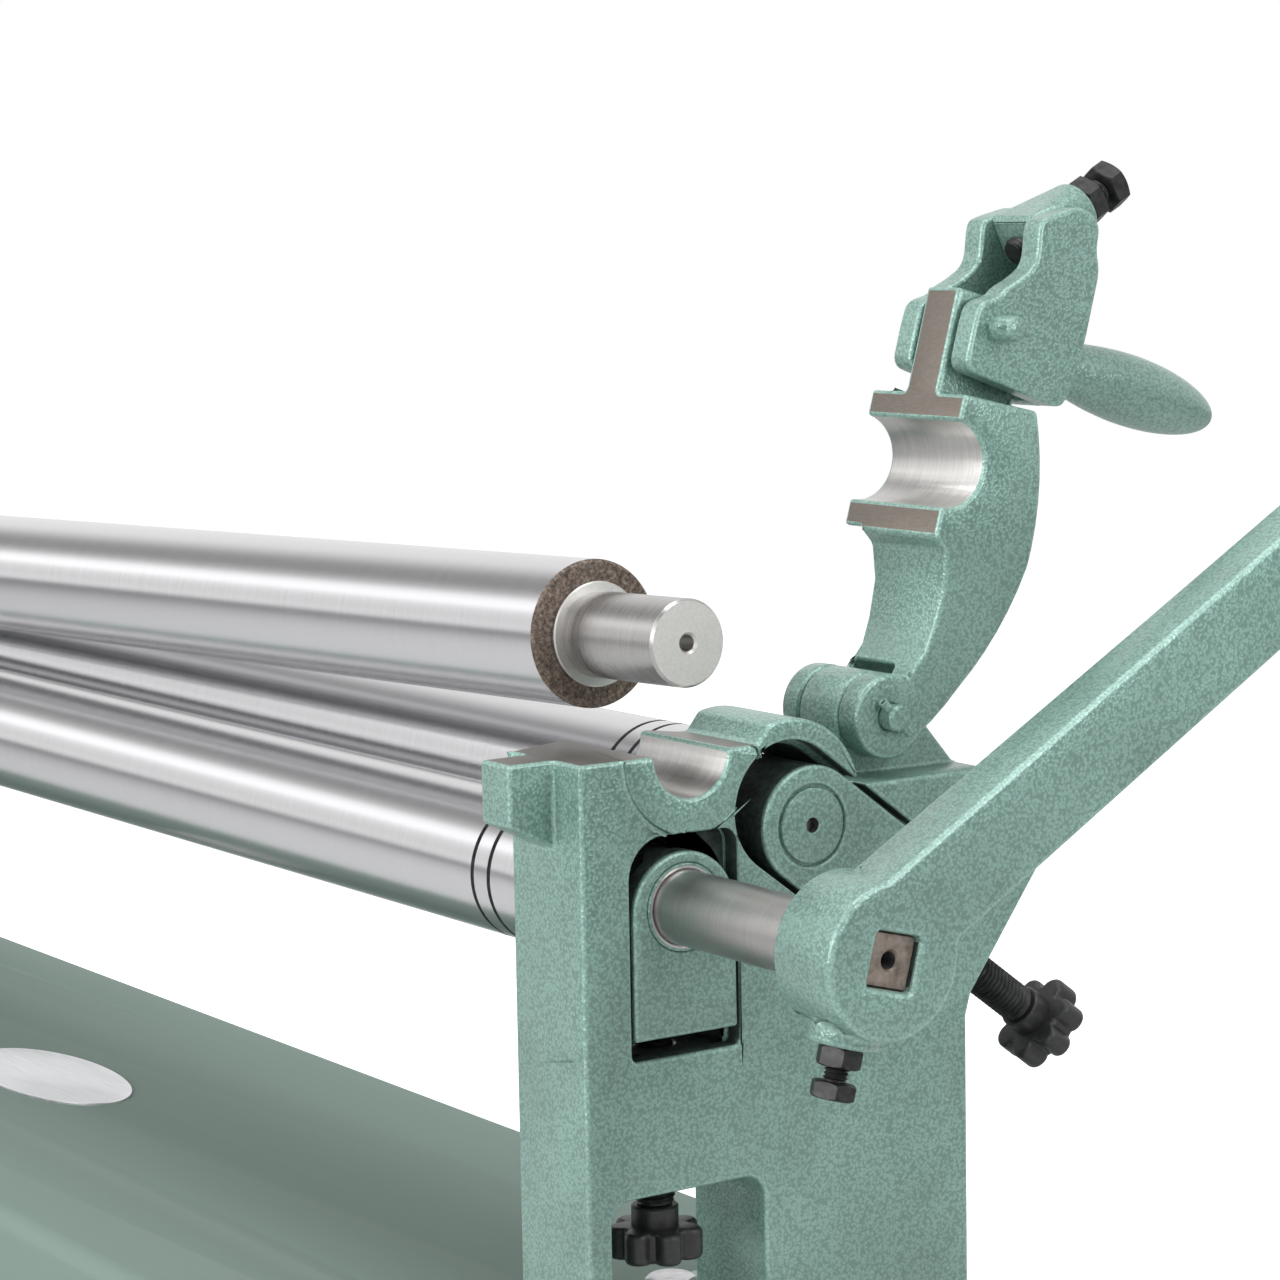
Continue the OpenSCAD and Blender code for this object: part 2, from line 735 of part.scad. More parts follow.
rear_thread = slant_at - rear_tail - pass_gap + rear_screw_free;
module rear_screw_place() {
    on_slide() translate([-frame_t / 2, rear_tail + pass_gap, 0]) rotate([90, 0, 0]) children();
}
module rear_screw() { rear_screw_place() adjusting_screw(rear_thread); }
module rear_knob() { rear_screw_place() translate([0, 0, -rear_thread - fit_gap]) star_knob(); }
module rear_screw_right() { color(black) right_end() rear_screw(); }
module rear_screw_left() { color(black) left_end() rear_screw(); }
module rear_knob_right() { color(black) right_end() rear_knob(); }
module rear_knob_left() { color(black) left_end() rear_knob(); }

// Rolls

// Grooves for wire in a roll's body near its right-hand end
groove_depth = 1.6;
module wire_grooves(y, z) {
    for (i = [0, 1]) {
        x = roll_len / 2 - groove_at - i * groove_step;
        difference() {
            rod_x(x - groove_w / 2, x + groove_w / 2, roll_d / 2 + over, y, z);
            rod_x(x - groove_w, x + groove_w, roll_d / 2 - groove_depth, y, z);
        }
    }
}

// Centre holes, keys and collars of the shafts
centre_hole_r = 2.8;
centre_hole_deep = 9;
gear_x = 8;
gear_hub_r = 16;
key_w = 6;
key_h = 6;
collar_w = 8;
collar_r = 18;
gear_end = gear_x + gear_w;
gear_shaft_end = gear_end + pass_gap + collar_w + over;
square_turn = 15;
square_recess = 3;
square_end = crank_gap + hub_len - square_recess;
square_gap = 0.1;

// A key on top of a shaft at y, z, turned by a about the shaft, with its sides grown by g
// and its ends drawn in by pull
module key_at(y, z, a, g, pull) {
    translate([gear_x + pull, y, z]) rotate([a, 0, 0])
        translate([0, shaft_d / 2 - key_h / 2 - g, -key_w / 2 - g])
            cube([gear_w - 2 * pull, key_h + 2 * g, key_w + 2 * g]);
}

module front_roll() {
    color(steel) difference() {
        union() {
            translate([0, -base_mid, axis_h]) rod_x(-roll_len / 2, roll_len / 2, roll_d / 2);
            right_end() {
                rod_x(-boss_len - body_gap - over, -shoulder_x, shoulder_d / 2);
                rod_x(-shoulder_x - over, crank_gap, shaft_d / 2);
                rotate([-square_turn, 0, 0]) translate([crank_gap - over, -square_w / 2,
                                                        -square_w / 2])
                    cube([square_end - crank_gap + over, square_w, square_w]);
            }
            left_end() {
                rod_x(-boss_len - body_gap - over, -shoulder_x, shoulder_d / 2);
                rod_x(-shoulder_x - over, gear_shaft_end, shaft_d / 2);
            }
        }
        wire_grooves(-base_mid, axis_h);
        right_end() rod_x(square_end - centre_hole_deep, square_end + over, centre_hole_r, 0, 0,
                          coarse);
        left_end() key_at(0, 0, key_turn, fit_gap, 0);
    }
}

module rear_roll() {
    color(steel) difference() {
        union() {
            translate([0, rear_y - base_mid, axis_h + rear_z])
                rod_x(-roll_len / 2, roll_len / 2, roll_d / 2);
            right_end() rear_shaft();
            left_end() rear_shaft();
        }
        wire_grooves(rear_y - base_mid, axis_h + rear_z);
    }
}
module rear_shaft() {
    rod_x(-boss_len - body_gap - over, -shoulder_x, shoulder_d / 2, rear_y, rear_z);
    rod_x(-shoulder_x - over, -cap_t - pass_gap, shaft_d / 2, rear_y, rear_z);
}

// The upper roll and all on it is drawn level and tilted about the swivel
tilt = asin(lift_rise / (2 * face_x + swivel_x));
module tilted() {
    x = -face_x - swivel_x;
    y = seat_y - base_mid;
    z = axis_h + seat_z;
    translate([x, y, z]) rotate([0, -tilt, 0]) translate([-x, -y, -z]) children();
}

step_r = 18;
step_t = 2.1;
upper_shoulder_r = 16;
swivel_space = 0.2;
module upper_roll() {
    color(steel) tilted() difference() {
        union() {
            translate([0, seat_y - base_mid, axis_h + seat_z])
                rod_x(-roll_len / 2, roll_len / 2, roll_d / 2);
            right_end() {
                rod_x(-boss_len - body_gap - over, -boss_len - body_gap + step_t, step_r,
                      seat_y, seat_z);
                rod_x(-boss_len - body_gap, 0, journal_d / 2, seat_y, seat_z);
            }
            left_end() {
                rod_x(-boss_len - body_gap - over, swivel_x - swivel_half - swivel_space,
                      upper_shoulder_r, seat_y, seat_z);
                rod_x(swivel_x - swivel_half - over, swivel_x + swivel_half, journal_d / 2,
                      seat_y, seat_z);
                rod_x(swivel_x, gear_shaft_end, shaft_d / 2, seat_y, seat_z);
            }
        }
        right_end() rod_x(-centre_hole_deep, over, centre_hole_r, seat_y, seat_z,
                          coarse);
        left_end() key_at(seat_y, seat_z, key_turn, fit_gap, 0);
    }
}

module upper_swivel() {
    color(bronze) tilted() left_end() translate([swivel_x, seat_y, seat_z]) difference() {
        intersection() {
            sphere(swivel_r, $fn = fine);
            translate([-swivel_half, -swivel_r, -swivel_r])
                cube([2 * swivel_half, 2 * swivel_r, 2 * swivel_r]);
        }
        rod_x(-swivel_half - over, swivel_half + over, journal_d / 2 + run_gap);
    }
}

module swivel_keeper() {
    color(green) left_end() difference() {
        union() {
            rod_x(fit_gap, keeper_t, head_r, seat_y, seat_z);
            rod_x(-spigot_len, over, swivel_r - run_gap, seat_y, seat_z);
        }
        rod_x(-spigot_len - over, keeper_t + over, lip_r, seat_y, seat_z);
        for (a = keeper_angles)
            rod_x(-over, keeper_t + over, keeper_screw_r + fit_gap,
                  seat_y + keeper_screw_at * cos(a), seat_z + keeper_screw_at * sin(a), coarse);
        for (a = keeper_angles)
            rod_x(keeper_t - keeper_head_h, keeper_t + over, keeper_head_r + pass_gap,
                  seat_y + keeper_screw_at * cos(a), seat_z + keeper_screw_at * sin(a), coarse);
    }
}

module swivel_keeper_screws() {
    color(zinc) left_end() for (a = keeper_angles)
        translate([keeper_t - keeper_head_h, seat_y + keeper_screw_at * cos(a),
                   seat_z + keeper_screw_at * sin(a)]) {
            rod_x(0, keeper_head_h, keeper_head_r, 0, 0, coarse);
            rod_x(-keeper_screw_len, over, keeper_screw_r, 0, 0, coarse);
        }
}

// Gears

// Tooth thickness at the root, in the middle and at the tip
gear_teeth = 12;
tooth_root = 8.3;
tooth_mid = 5.4;
tooth_tip = 2.2;
// Direction of the line from the front gear's axis to the upper gear's
mesh_angle = atan2(seat_z, seat_y);
key_turn = mesh_angle + 180 / gear_teeth;

// A gear whose first tooth points at angle a, on a shaft at y, z, its hub starting at hub_x
module gear(y, z, a, hub_x) {
    mid_r = (gear_r + gear_root_r) / 2;
    difference() {
        union() {
            slab(gear_x, gear_end) translate([y, z]) {
                circle(gear_root_r, $fn = fine);
                for (i = [0 : gear_teeth - 1]) rotate(a + 360 * i / gear_teeth)
                    polygon([[gear_root_r - over, -tooth_root / 2], [mid_r, -tooth_mid / 2],
                             [gear_r, -tooth_tip / 2], [gear_r, tooth_tip / 2],
                             [mid_r, tooth_mid / 2], [gear_root_r - over, tooth_root / 2]]);
            }
            rod_x(hub_x, gear_x + over, gear_hub_r, y, z);
        }
        rod_x(hub_x - over, gear_end + over, shaft_d / 2 + fit_gap, y, z);
        key_at(y, z, key_turn, fit_gap, 0);
    }
}

module front_gear() { color(steel) left_end() gear(0, 0, mesh_angle, pass_gap); }
module upper_gear() {
    hub_x = swivel_x + swivel_half + pass_gap;
    color(steel) tilted() left_end()
        gear(seat_y, seat_z, mesh_angle + 180 + 180 / gear_teeth, hub_x);
}
module front_gear_key() { color(zinc) left_end() key_at(0, 0, key_turn, 0, pass_gap); }
module upper_gear_key() { color(zinc) tilted() left_end() key_at(seat_y, seat_z, key_turn, 0, pass_gap); }
module gear_collar(y, z) {
    x = gear_end + pass_gap;
    ring_x(x, x + collar_w, collar_r, shaft_d / 2 + fit_gap, y, z);
}
module front_gear_collar() { color(zinc) left_end() gear_collar(0, 0); }
module upper_gear_collar() { color(zinc) tilted() left_end() gear_collar(seat_y, seat_z); }

// Guard over the gears: a cup with a round top
guard_x = 7;
guard_half = 38;
guard_top_r = 38;
guard_t = 2;
guard_len = gear_shaft_end - guard_x + 2 * over;
guard_nut_af = 13;
guard_nut_h = 6.5;
module guard_outline(inset) {
    translate([-guard_half + inset, -guard_half + inset])
        square([2 * (guard_half - inset), guard_half + seat_z - inset]);
    translate([0, seat_z]) circle(guard_top_r - inset, $fn = fine);
}
module gear_guard() {
    color(green) left_end() difference() {
        slab(guard_x, guard_x + guard_len + guard_t) guard_outline(0);
        slab(guard_x - over, guard_x + guard_len) guard_outline(guard_t);
        for (s = guard_studs) rod_x(guard_x, guard_x + guard_len + guard_t + over,
                                    guard_stud_r + fit_gap, s[0], s[1], coarse);
    }
}
guard_face = guard_x + guard_len + guard_t;
module gear_guard_studs() {
    color(zinc) left_end() for (s = guard_studs) {
        rod_x(-guard_stud_deep, guard_face + guard_nut_h + over, guard_stud_r, s[0], s[1],
              coarse);
        rod_x(guard_face - guard_t - guard_nut_h, guard_face - guard_t - fit_gap,
              guard_nut_af / 2, s[0], s[1], coarse);
    }
}
module gear_guard_nuts() {
    color(zinc) left_end() for (s = guard_studs)
        translate([guard_face + fit_gap, s[0], s[1]]) rotate([0, 90, 0]) difference() {
            hex(guard_nut_af, guard_nut_h);
            translate([0, 0, -over]) cylinder(h = guard_nut_h + 2 * over,
                                              r = guard_stud_r + fit_gap, $fn = coarse);
        }
}

// Crank

// Direction of the arm above level and offset of its middle from the hub's axis
arm_angle = 29.8;
arm_off = 6.6;
arm_end_r = 19;
set_at = 11.7;
set_boss_r = 11.4;
set_boss_top = 29.2;
set_nut_af = 13;
set_nut_h = 6.5;
set_gap = 4.5;
set_head_h = 5.5;
spindle_r = 6;
spindle_head_r = 9;
spindle_head_t = 4;
spindle_nut_h = 9;
spindle_nut_af = 19;
arm_face = crank_gap + hub_len;

module arm_axes() { rotate([arm_angle, 0, 0]) translate([0, 0, arm_off]) children(); }
module set_screw_axes() {
    translate([crank_gap + set_at, 0, 0]) rotate([-square_turn, 0, 0]) rotate([180, 0, 0])
        children();
}

module crank_casting() {
    color(green) right_end() difference() {
        union() {
            rod_x(crank_gap, crank_gap + hub_len, hub_r);
            arm_axes() {
                translate([arm_face - arm_t, 0, -arm_w / 2]) cube([arm_t, crank_r, arm_w]);
                rod_x(arm_face - arm_t, arm_face, arm_end_r, crank_r, 0);
            }
            set_screw_axes() cylinder(h = set_boss_top, r = set_boss_r, $fn = fine);
        }
        side = square_w + 2 * square_gap;
        rotate([-square_turn, 0, 0]) translate([crank_gap - over, -side / 2, -side / 2])
            cube([hub_len + 2 * over, side, side]);
        set_screw_axes() cylinder(h = set_boss_top + over, r = set_screw_d / 2 + fit_gap,
                                  $fn = coarse);
        arm_axes() rod_x(arm_face - arm_t - over, arm_face + over, spindle_r + fit_gap, crank_r,
                         0);
    }
}
module crank_set_screw() {
    tip = square_w / 2 + fit_gap;
    head = set_boss_top + fit_gap + set_nut_h + set_gap;
    color(black) right_end() set_screw_axes() {
        translate([0, 0, tip]) cylinder(h = head - tip + over, r = set_screw_d / 2, $fn = coarse);
        translate([0, 0, head]) hex(set_nut_af, set_head_h);
    }
}
module crank_lock_nut() {
    color(black) right_end() set_screw_axes() translate([0, 0, set_boss_top + fit_gap])
        difference() {
            hex(set_nut_af, set_nut_h);
            translate([0, 0, -over]) cylinder(h = set_nut_h + 2 * over,
                                              r = set_screw_d / 2 + fit_gap, $fn = coarse);
        }
}
module crank_spindle() {
    inner = arm_face - arm_t - fit_gap - spindle_nut_h - over;
    head = arm_face + grip_len + 2 * pass_gap;
    color(zinc) right_end() arm_axes() {
        rod_x(inner, head + over, spindle_r, crank_r, 0);
        rod_x(head, head + spindle_head_t, spindle_head_r, crank_r, 0);
    }
}
module crank_grip() {
    x = arm_face + pass_gap;
    color(green) right_end() arm_axes()
        ring_x(x, x + grip_len, grip_d / 2, spindle_r + run_gap, crank_r, 0);
}
module crank_spindle_nut() {
    color(zinc) right_end() arm_axes()
        translate([arm_face - arm_t - fit_gap - spindle_nut_h, crank_r, 0]) rotate([0, 90, 0])
            difference() {
                hex(spindle_nut_af, spindle_nut_h);
                translate([0, 0, -over]) cylinder(h = spindle_nut_h + 2 * over,
                                                  r = spindle_r + fit_gap, $fn = coarse);
            }
}

// Yoke, drawn shut and swung open about its hinge

yoke_gap = 0.3;
ear_out = 7;
ear_in = 50;
ear_gap = 0.5;
notch_r = 19.5;
notch_back = 6;
yoke_boss_r = 24.5;
yoke_arc_y = 24;
yoke_arc_z = -14;
yoke_arc_from = 115.4;
yoke_arc_to = 48.3;
yoke_arc_steps = 16;
arm_straight = 30;
arm_taper = 77;
// The arm's underside, as shares of the way from the hinge to the saddle's axis and up
under_shares = [[0.705, -0.028], [0.668, 0.04], [0.535, 0.09], [0.384, 0.1], [0.275, 0.094],
                [0.203, 0.062]];
// The stem, as shares of the same way from its root at the saddle's front
stem_shares = [[0.423, 0], [0.423, 0.192], [0.326, 0.282], [0.02, 0.38], [-0.1, 0.38], [-0.1, 0]];
stem_mid = 24.3;
latch_pin_out = 46.8;
latch_pin_up = 11.06;
latch_y = -latch_pin_out;
latch_z = seat_z + latch_pin_up;

module swung_open() {
    translate([0, hinge_y, hinge_z]) rotate([-open_angle, 0, 0])
        translate([0, -hinge_y, -hinge_z]) children();
}

module yoke_outline() {
    span = hinge_y - seat_y;
    front = seat_y - yoke_boss_r;
    polygon(concat([[front, seat_z + yoke_gap]],
                   arc_points(yoke_arc_y, yoke_arc_z, yoke_back_r, yoke_arc_from, yoke_arc_to,
                              yoke_arc_steps),
                   [[hinge_y, hinge_z]],
                   [for (i = [len(under_shares) - 1 : -1 : 1]) let (p = under_shares[i])
                       [hinge_y - p[0] * span, hinge_z + p[1] * span]],
                   [[bar_back, seat_z + yoke_gap]]));
    translate([hinge_y, hinge_z]) circle(ear_r, $fn = fine);
}

module stem_outline() {
    span = hinge_y - seat_y;
    front = seat_y - yoke_boss_r;
    polygon([for (p = stem_shares) [front - p[0] * span, seat_z + yoke_gap + p[1] * span]]);
}

module yoke() {
    color(green) right_end() swung_open() difference() {
        union() {
            intersection() {
                slab(-frame_t, 0) yoke_outline();
                translate([0, 0, -frame_t]) linear_extrude(2 * axis_h)
                    polygon([[-frame_t, -2 * frame_front], [0, -2 * frame_front],
                             [0, arm_straight], [-ear_out, arm_taper],
                             [-ear_out, hinge_y + 2 * ear_r], [-frame_t, hinge_y + 2 * ear_r]]);
            }
            slab(-boss_len, over - frame_t) intersection() {
                translate([seat_y, seat_z]) circle(yoke_boss_r, $fn = fine);
                translate([-frame_front, seat_z + yoke_gap])
                    square([2 * frame_front, 2 * yoke_boss_r]);
            }
            slab(-ear_in, over - frame_t) intersection() {
                translate([hinge_y, hinge_z]) circle(ear_r, $fn = fine);
                square([2 * hinge_y, 2 * hinge_z]);
            }
            slab(-stem_mid - stem_w / 2, -stem_mid + stem_w / 2) stem_outline();
        }
        rod_x(-boss_len - over, over, saddle_r, seat_y, seat_z);
        slab(-lug_in - ear_gap - ear_gap, -lug_out + ear_gap) {
            translate([hinge_y, hinge_z]) circle(notch_r, $fn = fine);
            translate([hinge_y - notch_back, hinge_z]) square([notch_r + notch_back, 2 * notch_r]);
        }
        rod_x(-ear_in - over, over, hinge_pin_d / 2 + fit_gap, hinge_y, hinge_z);
        rod_x(-frame_t, 0, latch_pin_d / 2 + run_gap, latch_y, latch_z);
    }
}

pin_over = 3.5;
pin_proud = 6;
roll_pin_r = 1.6;
roll_pin_in = 0.9;
roll_pin_len = 17;
roll_pin_turn = -30;
roll_pin_at = 2.8;
module hinge_pin() {
    color(green) right_end() swung_open() translate([0, hinge_y, hinge_z]) difference() {
        rod_x(-ear_in - pin_over, -ear_out + pin_proud, hinge_pin_d / 2);
        roll_pin_place() cylinder(h = 2 * roll_pin_len, r = roll_pin_r + fit_gap, center = true,
                                  $fn = coarse);
    }
}
module roll_pin_place() {
    translate([pin_proud - ear_out - roll_pin_at, 0, 0]) rotate([roll_pin_turn, 0, 0]) children();
}
module hinge_roll_pin() {
    color(green) right_end() swung_open() translate([0, hinge_y, hinge_z]) roll_pin_place()
        difference() {
            cylinder(h = roll_pin_len, r = roll_pin_r, center = true, $fn = coarse);
            cylinder(h = roll_pin_len + 2 * over, r = roll_pin_in, center = true, $fn = coarse);
        }
}

// Latch, drawn on the shut yoke with its handle up. Its shares follow the distance of the
// latch's top above its pin
latch_top = 40;
cheek_shares = [[0.425, -0.26], [0.51, 0.87], [0.41, 0.94], [-0.1, 1.01], [-0.765, 1.01],
                [-0.93, 0.92], [-1.165, 0.91], [-1.27, 0.67], [-1.06, 0.29], [-0.99, 0.23],
                [-0.64, 0.29], [-0.475, 0.15], [-0.355, 0], [-0.275, -0.04], [-0.17, -0.24],
                [-0.005, -0.26]];
wall_shares = [[0.49, 0.72], [0.51, 0.87], [0.41, 0.94], [-0.1, 1.01], [-0.765, 1.01],
               [-0.765, 0.86], [-0.08, 0.86], [0.41, 0.72]];
nose_shares = [[-0.72, 0.59], [-0.765, 1.01], [-0.93, 0.92], [-1.165, 0.91], [-1.27, 0.67],
               [-1.06, 0.29]];
latch_mid = 24.25;
bolt_axis_y = 32.4;
bolt_axis_z = 18.75;
bolt_lean = 46.5 - 90;
bolt_boss_r = 10;
bolt_boss_t = 5;
bolt_boss_top = 31;
bolt_tip = 2.65;
bolt_point = 1.5;
latch_nut_h = 7.5;
latch_bolt_gap = 4.5;
latch_head_h = 7;
latch_bolt_af = 16;
handle_stud_r = 5;
handle_stud_len = 6;
handle_y = 2.4;
handle_lean = 1.5;
latch_proud = 11.5;

module latch_shape(shares) {
    translate([latch_y, latch_z]) polygon([for (p = shares) latch_top * p]);
}
module on_latch() { right_end() swung_open() children(); }
module bolt_axes() {
    translate([-latch_mid, latch_y - bolt_axis_y, latch_z + bolt_axis_z])
        rotate([-bolt_lean, 0, 0]) children();
}
module handle_axes() {
    translate([-latch_mid, latch_y + handle_y, latch_z + latch_top + over / 2])
        rotate([-handle_lean, 0, 0]) children();
}

module latch_casting() {
    half = cheek_gap / 2 + cheek_t;
    color(green) on_latch() difference() {
        union() {
            for (x = [-latch_mid - half, -latch_mid + cheek_gap / 2])
                slab(x, x + cheek_t) latch_shape(cheek_shares);
            slab(-latch_mid - cheek_gap / 2 - over, -latch_mid + cheek_gap / 2 + over)
                latch_shape(wall_shares);
            hull() {
                slab(-latch_mid - cheek_gap / 2, -latch_mid + cheek_gap / 2)
                    latch_shape(nose_shares);
                bolt_axes() translate([0, 0, bolt_boss_top - bolt_boss_t])
                    cylinder(h = bolt_boss_t, r = bolt_boss_r, $fn = coarse);
            }
        }
        rod_x(-frame_t - 2 * cheek_t, 2 * cheek_t, latch_pin_d / 2 + fit_gap, latch_y, latch_z);
        bolt_axes() translate([0, 0, -bolt_boss_top])
            cylinder(h = 2 * bolt_boss_top + over, r = latch_bolt_d / 2 + fit_gap, $fn = fine);
        handle_axes() translate([0, 0, -2 * handle_stud_len])
            cylinder(h = 3 * handle_stud_len, r = handle_stud_r + fit_gap, $fn = fine);
    }
}

// Half profile of the handle, as shares of its length and of its largest radius
handle_shares = [[0, 0.58], [0.04, 0.6], [0.12, 0.72], [0.2, 0.81], [0.35, 0.94], [0.5, 1],
                 [0.62, 0.98], [0.74, 0.88], [0.84, 0.71], [0.92, 0.5], [0.97, 0.3], [1, 0]];
module latch_handle() {
    color(green) on_latch() handle_axes() {
        rotate_extrude($fn = fine)
            polygon(concat([[0, 0]], [for (p = handle_shares) [p[1] * handle_d / 2,
                                                               p[0] * handle_len]]));
        translate([0, 0, -handle_stud_len]) cylinder(h = handle_stud_len + over,
                                                     r = handle_stud_r, $fn = fine);
    }
}

module latch_pin() {
    color(green) on_latch() translate([0, latch_y, latch_z]) difference() {
        rod_x(-latch_mid - cheek_gap / 2 - cheek_t - over, -latch_mid + cheek_gap / 2 + cheek_t
              + latch_proud, latch_pin_d / 2);
        latch_roll_place() cylinder(h = 2 * roll_pin_len, r = latch_roll_r + fit_gap,
                                    center = true, $fn = coarse);
    }
}
latch_roll_r = 1.5;
latch_roll_len = 15;
latch_roll_at = 3;
module latch_roll_place() {
    translate([-latch_mid + cheek_gap / 2 + cheek_t + latch_proud - latch_roll_at, 0, 0])
        children();
}
module latch_roll_pin() {
    color(green) on_latch() translate([0, latch_y, latch_z]) latch_roll_place()
        cylinder(h = latch_roll_len, r = latch_roll_r, center = true, $fn = coarse);
}

module latch_bolt() {
    head = bolt_boss_top + fit_gap + latch_nut_h + latch_bolt_gap;
    r = latch_bolt_d / 2;
    color(black) on_latch() bolt_axes() {
        rotate_extrude($fn = fine) polygon([[0, -bolt_tip], [r - bolt_point, -bolt_tip],
                                            [r, bolt_point - bolt_tip], [r, head + over],
                                            [0, head + over]]);
        translate([0, 0, head]) hex(latch_bolt_af, latch_head_h);
    }
}
module latch_lock_nut() {
    color(black) on_latch() bolt_axes() translate([0, 0, bolt_boss_top + fit_gap]) difference() {
        hex(latch_bolt_af, latch_nut_h);
        translate([0, 0, -over]) cylinder(h = latch_nut_h + 2 * over,
                                          r = latch_bolt_d / 2 + fit_gap, $fn = fine);
    }
}

base_channel();
base_end_plate_right();
base_end_plate_left();
base_plate_screws();
blank_plate();
right_end_frame();
left_end_frame();
frame_bolts();
frame_nuts();
front_block_right();
front_block_left();
front_bush_right();
front_bush_left();
front_screw_right();
front_screw_left();
front_knob_right();
front_knob_left();
front_roll();
front_gear();
front_gear_key();
front_gear_collar();
crank_casting();
crank_set_screw();
crank_lock_nut();
crank_spindle();
crank_grip();
crank_spindle_nut();
rear_block_right();
rear_block_left();
rear_bush_right();
rear_bush_left();
rear_screw_right();
rear_screw_left();
rear_knob_right();
rear_knob_left();
rear_roll();
upper_roll();
upper_swivel();
swivel_keeper();
swivel_keeper_screws();
upper_gear();
upper_gear_key();
upper_gear_collar();
gear_guard();
gear_guard_studs();
gear_guard_nuts();
yoke();
hinge_pin();
hinge_roll_pin();
latch_casting();
latch_handle();
latch_pin();
latch_roll_pin();
latch_bolt();
latch_lock_nut();
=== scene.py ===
import json
import math

import bmesh
import bpy
from mathutils import Matrix, Vector


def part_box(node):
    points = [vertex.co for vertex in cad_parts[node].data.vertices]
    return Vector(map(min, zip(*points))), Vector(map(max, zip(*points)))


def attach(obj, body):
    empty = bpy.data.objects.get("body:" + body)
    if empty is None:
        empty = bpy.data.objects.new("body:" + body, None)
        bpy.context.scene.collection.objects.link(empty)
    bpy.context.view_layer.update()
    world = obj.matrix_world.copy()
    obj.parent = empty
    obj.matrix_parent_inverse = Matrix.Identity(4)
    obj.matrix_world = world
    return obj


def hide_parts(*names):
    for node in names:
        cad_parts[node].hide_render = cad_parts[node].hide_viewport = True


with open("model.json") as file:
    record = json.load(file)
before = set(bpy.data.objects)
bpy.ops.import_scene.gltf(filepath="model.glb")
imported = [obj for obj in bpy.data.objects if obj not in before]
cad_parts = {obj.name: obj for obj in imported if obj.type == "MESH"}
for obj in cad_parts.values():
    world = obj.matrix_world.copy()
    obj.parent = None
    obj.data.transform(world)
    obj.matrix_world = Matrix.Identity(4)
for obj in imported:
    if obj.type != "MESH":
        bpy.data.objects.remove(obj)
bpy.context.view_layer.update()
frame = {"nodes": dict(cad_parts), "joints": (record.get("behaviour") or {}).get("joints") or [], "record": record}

# The camera stands off the crank end, a little above the rolls, with a long lens. Its place
# was worked out from the rolls' edges, the saddle and the hub.
camera_data = bpy.data.cameras.new("camera")
camera_data.sensor_width = 36
camera_data.lens = 102.2
camera_data.clip_start, camera_data.clip_end = 0.05, 60
camera = bpy.data.objects.new("camera", camera_data)
bpy.context.scene.collection.objects.link(camera)
camera_azimuth, camera_elevation, camera_roll = 55.719, 7.056, -1.05
camera.matrix_world = (
    Matrix.Translation((1.5261, -0.7078, 0.4992))
    @ Matrix.Rotation(math.radians(camera_azimuth), 4, "Z")
    @ Matrix.Rotation(math.radians(90 - camera_elevation), 4, "X")
    @ Matrix.Rotation(math.radians(camera_roll), 4, "Z")
)
bpy.context.scene.camera = camera
bpy.context.scene.view_settings.view_transform = "Standard"

# A pale studio: a white surround that the camera sees and a soft fill for the paint. What
# bright metal mirrors is a tent that goes round the rolls: pale behind, darker overhead, with
# a bright soft box over the front. Its stops are degrees from the back, over the top.
tent_stops = ((0, 1.0), (60, 1.05), (76, 0.75), (90, 0.42), (110, 0.36), (124, 0.7), (133, 1.5),
              (145, 1.75), (153, 1.1), (166, 0.95), (179, 1.15))
world = bpy.data.worlds.new("studio")
bpy.context.scene.world = world
world.use_nodes = True
sky = world.node_tree
sky.nodes.clear()
sky_out = sky.nodes.new("ShaderNodeOutputWorld")
surround = sky.nodes.new("ShaderNodeBackground")
surround.inputs["Color"].default_value = (1, 1, 1, 1)
soft_fill = sky.nodes.new("ShaderNodeBackground")
soft_fill.inputs["Color"].default_value = (0.97, 0.985, 1, 1)
soft_fill.inputs["Strength"].default_value = 0.35
tent = sky.nodes.new("ShaderNodeBackground")
tent_way = sky.nodes.new("ShaderNodeTexCoord")
tent_parts = sky.nodes.new("ShaderNodeSeparateXYZ")
tent_angle = sky.nodes.new("ShaderNodeMath")
tent_angle.operation = "ARCTAN2"
tent_share = sky.nodes.new("ShaderNodeMath")
tent_share.operation = "MULTIPLY_ADD"
tent_share.inputs[1].default_value = 1 / (2 * math.pi)
tent_share.inputs[2].default_value = 0.25
tent_ramp = sky.nodes.new("ShaderNodeValToRGB")
tent_keys = tent_ramp.color_ramp.elements
while len(tent_keys) < len(tent_stops):
    tent_keys.new(0.5)
for key, (angle, level) in zip(tent_keys, tent_stops):
    key.position = angle / 360 + 0.25
    key.color = (level, level, level, 1)
sky.links.new(tent_way.outputs["Generated"], tent_parts.inputs[0])
sky.links.new(tent_parts.outputs["Z"], tent_angle.inputs[0])
sky.links.new(tent_parts.outputs["Y"], tent_angle.inputs[1])
sky.links.new(tent_angle.outputs[0], tent_share.inputs[0])
sky.links.new(tent_share.outputs[0], tent_ramp.inputs["Fac"])
sky.links.new(tent_ramp.outputs["Color"], tent.inputs["Color"])
seen = sky.nodes.new("ShaderNodeLightPath")
mirrored = sky.nodes.new("ShaderNodeMixShader")
pick = sky.nodes.new("ShaderNodeMixShader")
sky.links.new(seen.outputs["Is Glossy Ray"], mirrored.inputs["Fac"])
sky.links.new(soft_fill.outputs[0], mirrored.inputs[1])
sky.links.new(tent.outputs[0], mirrored.inputs[2])
sky.links.new(seen.outputs["Is Camera Ray"], pick.inputs["Fac"])
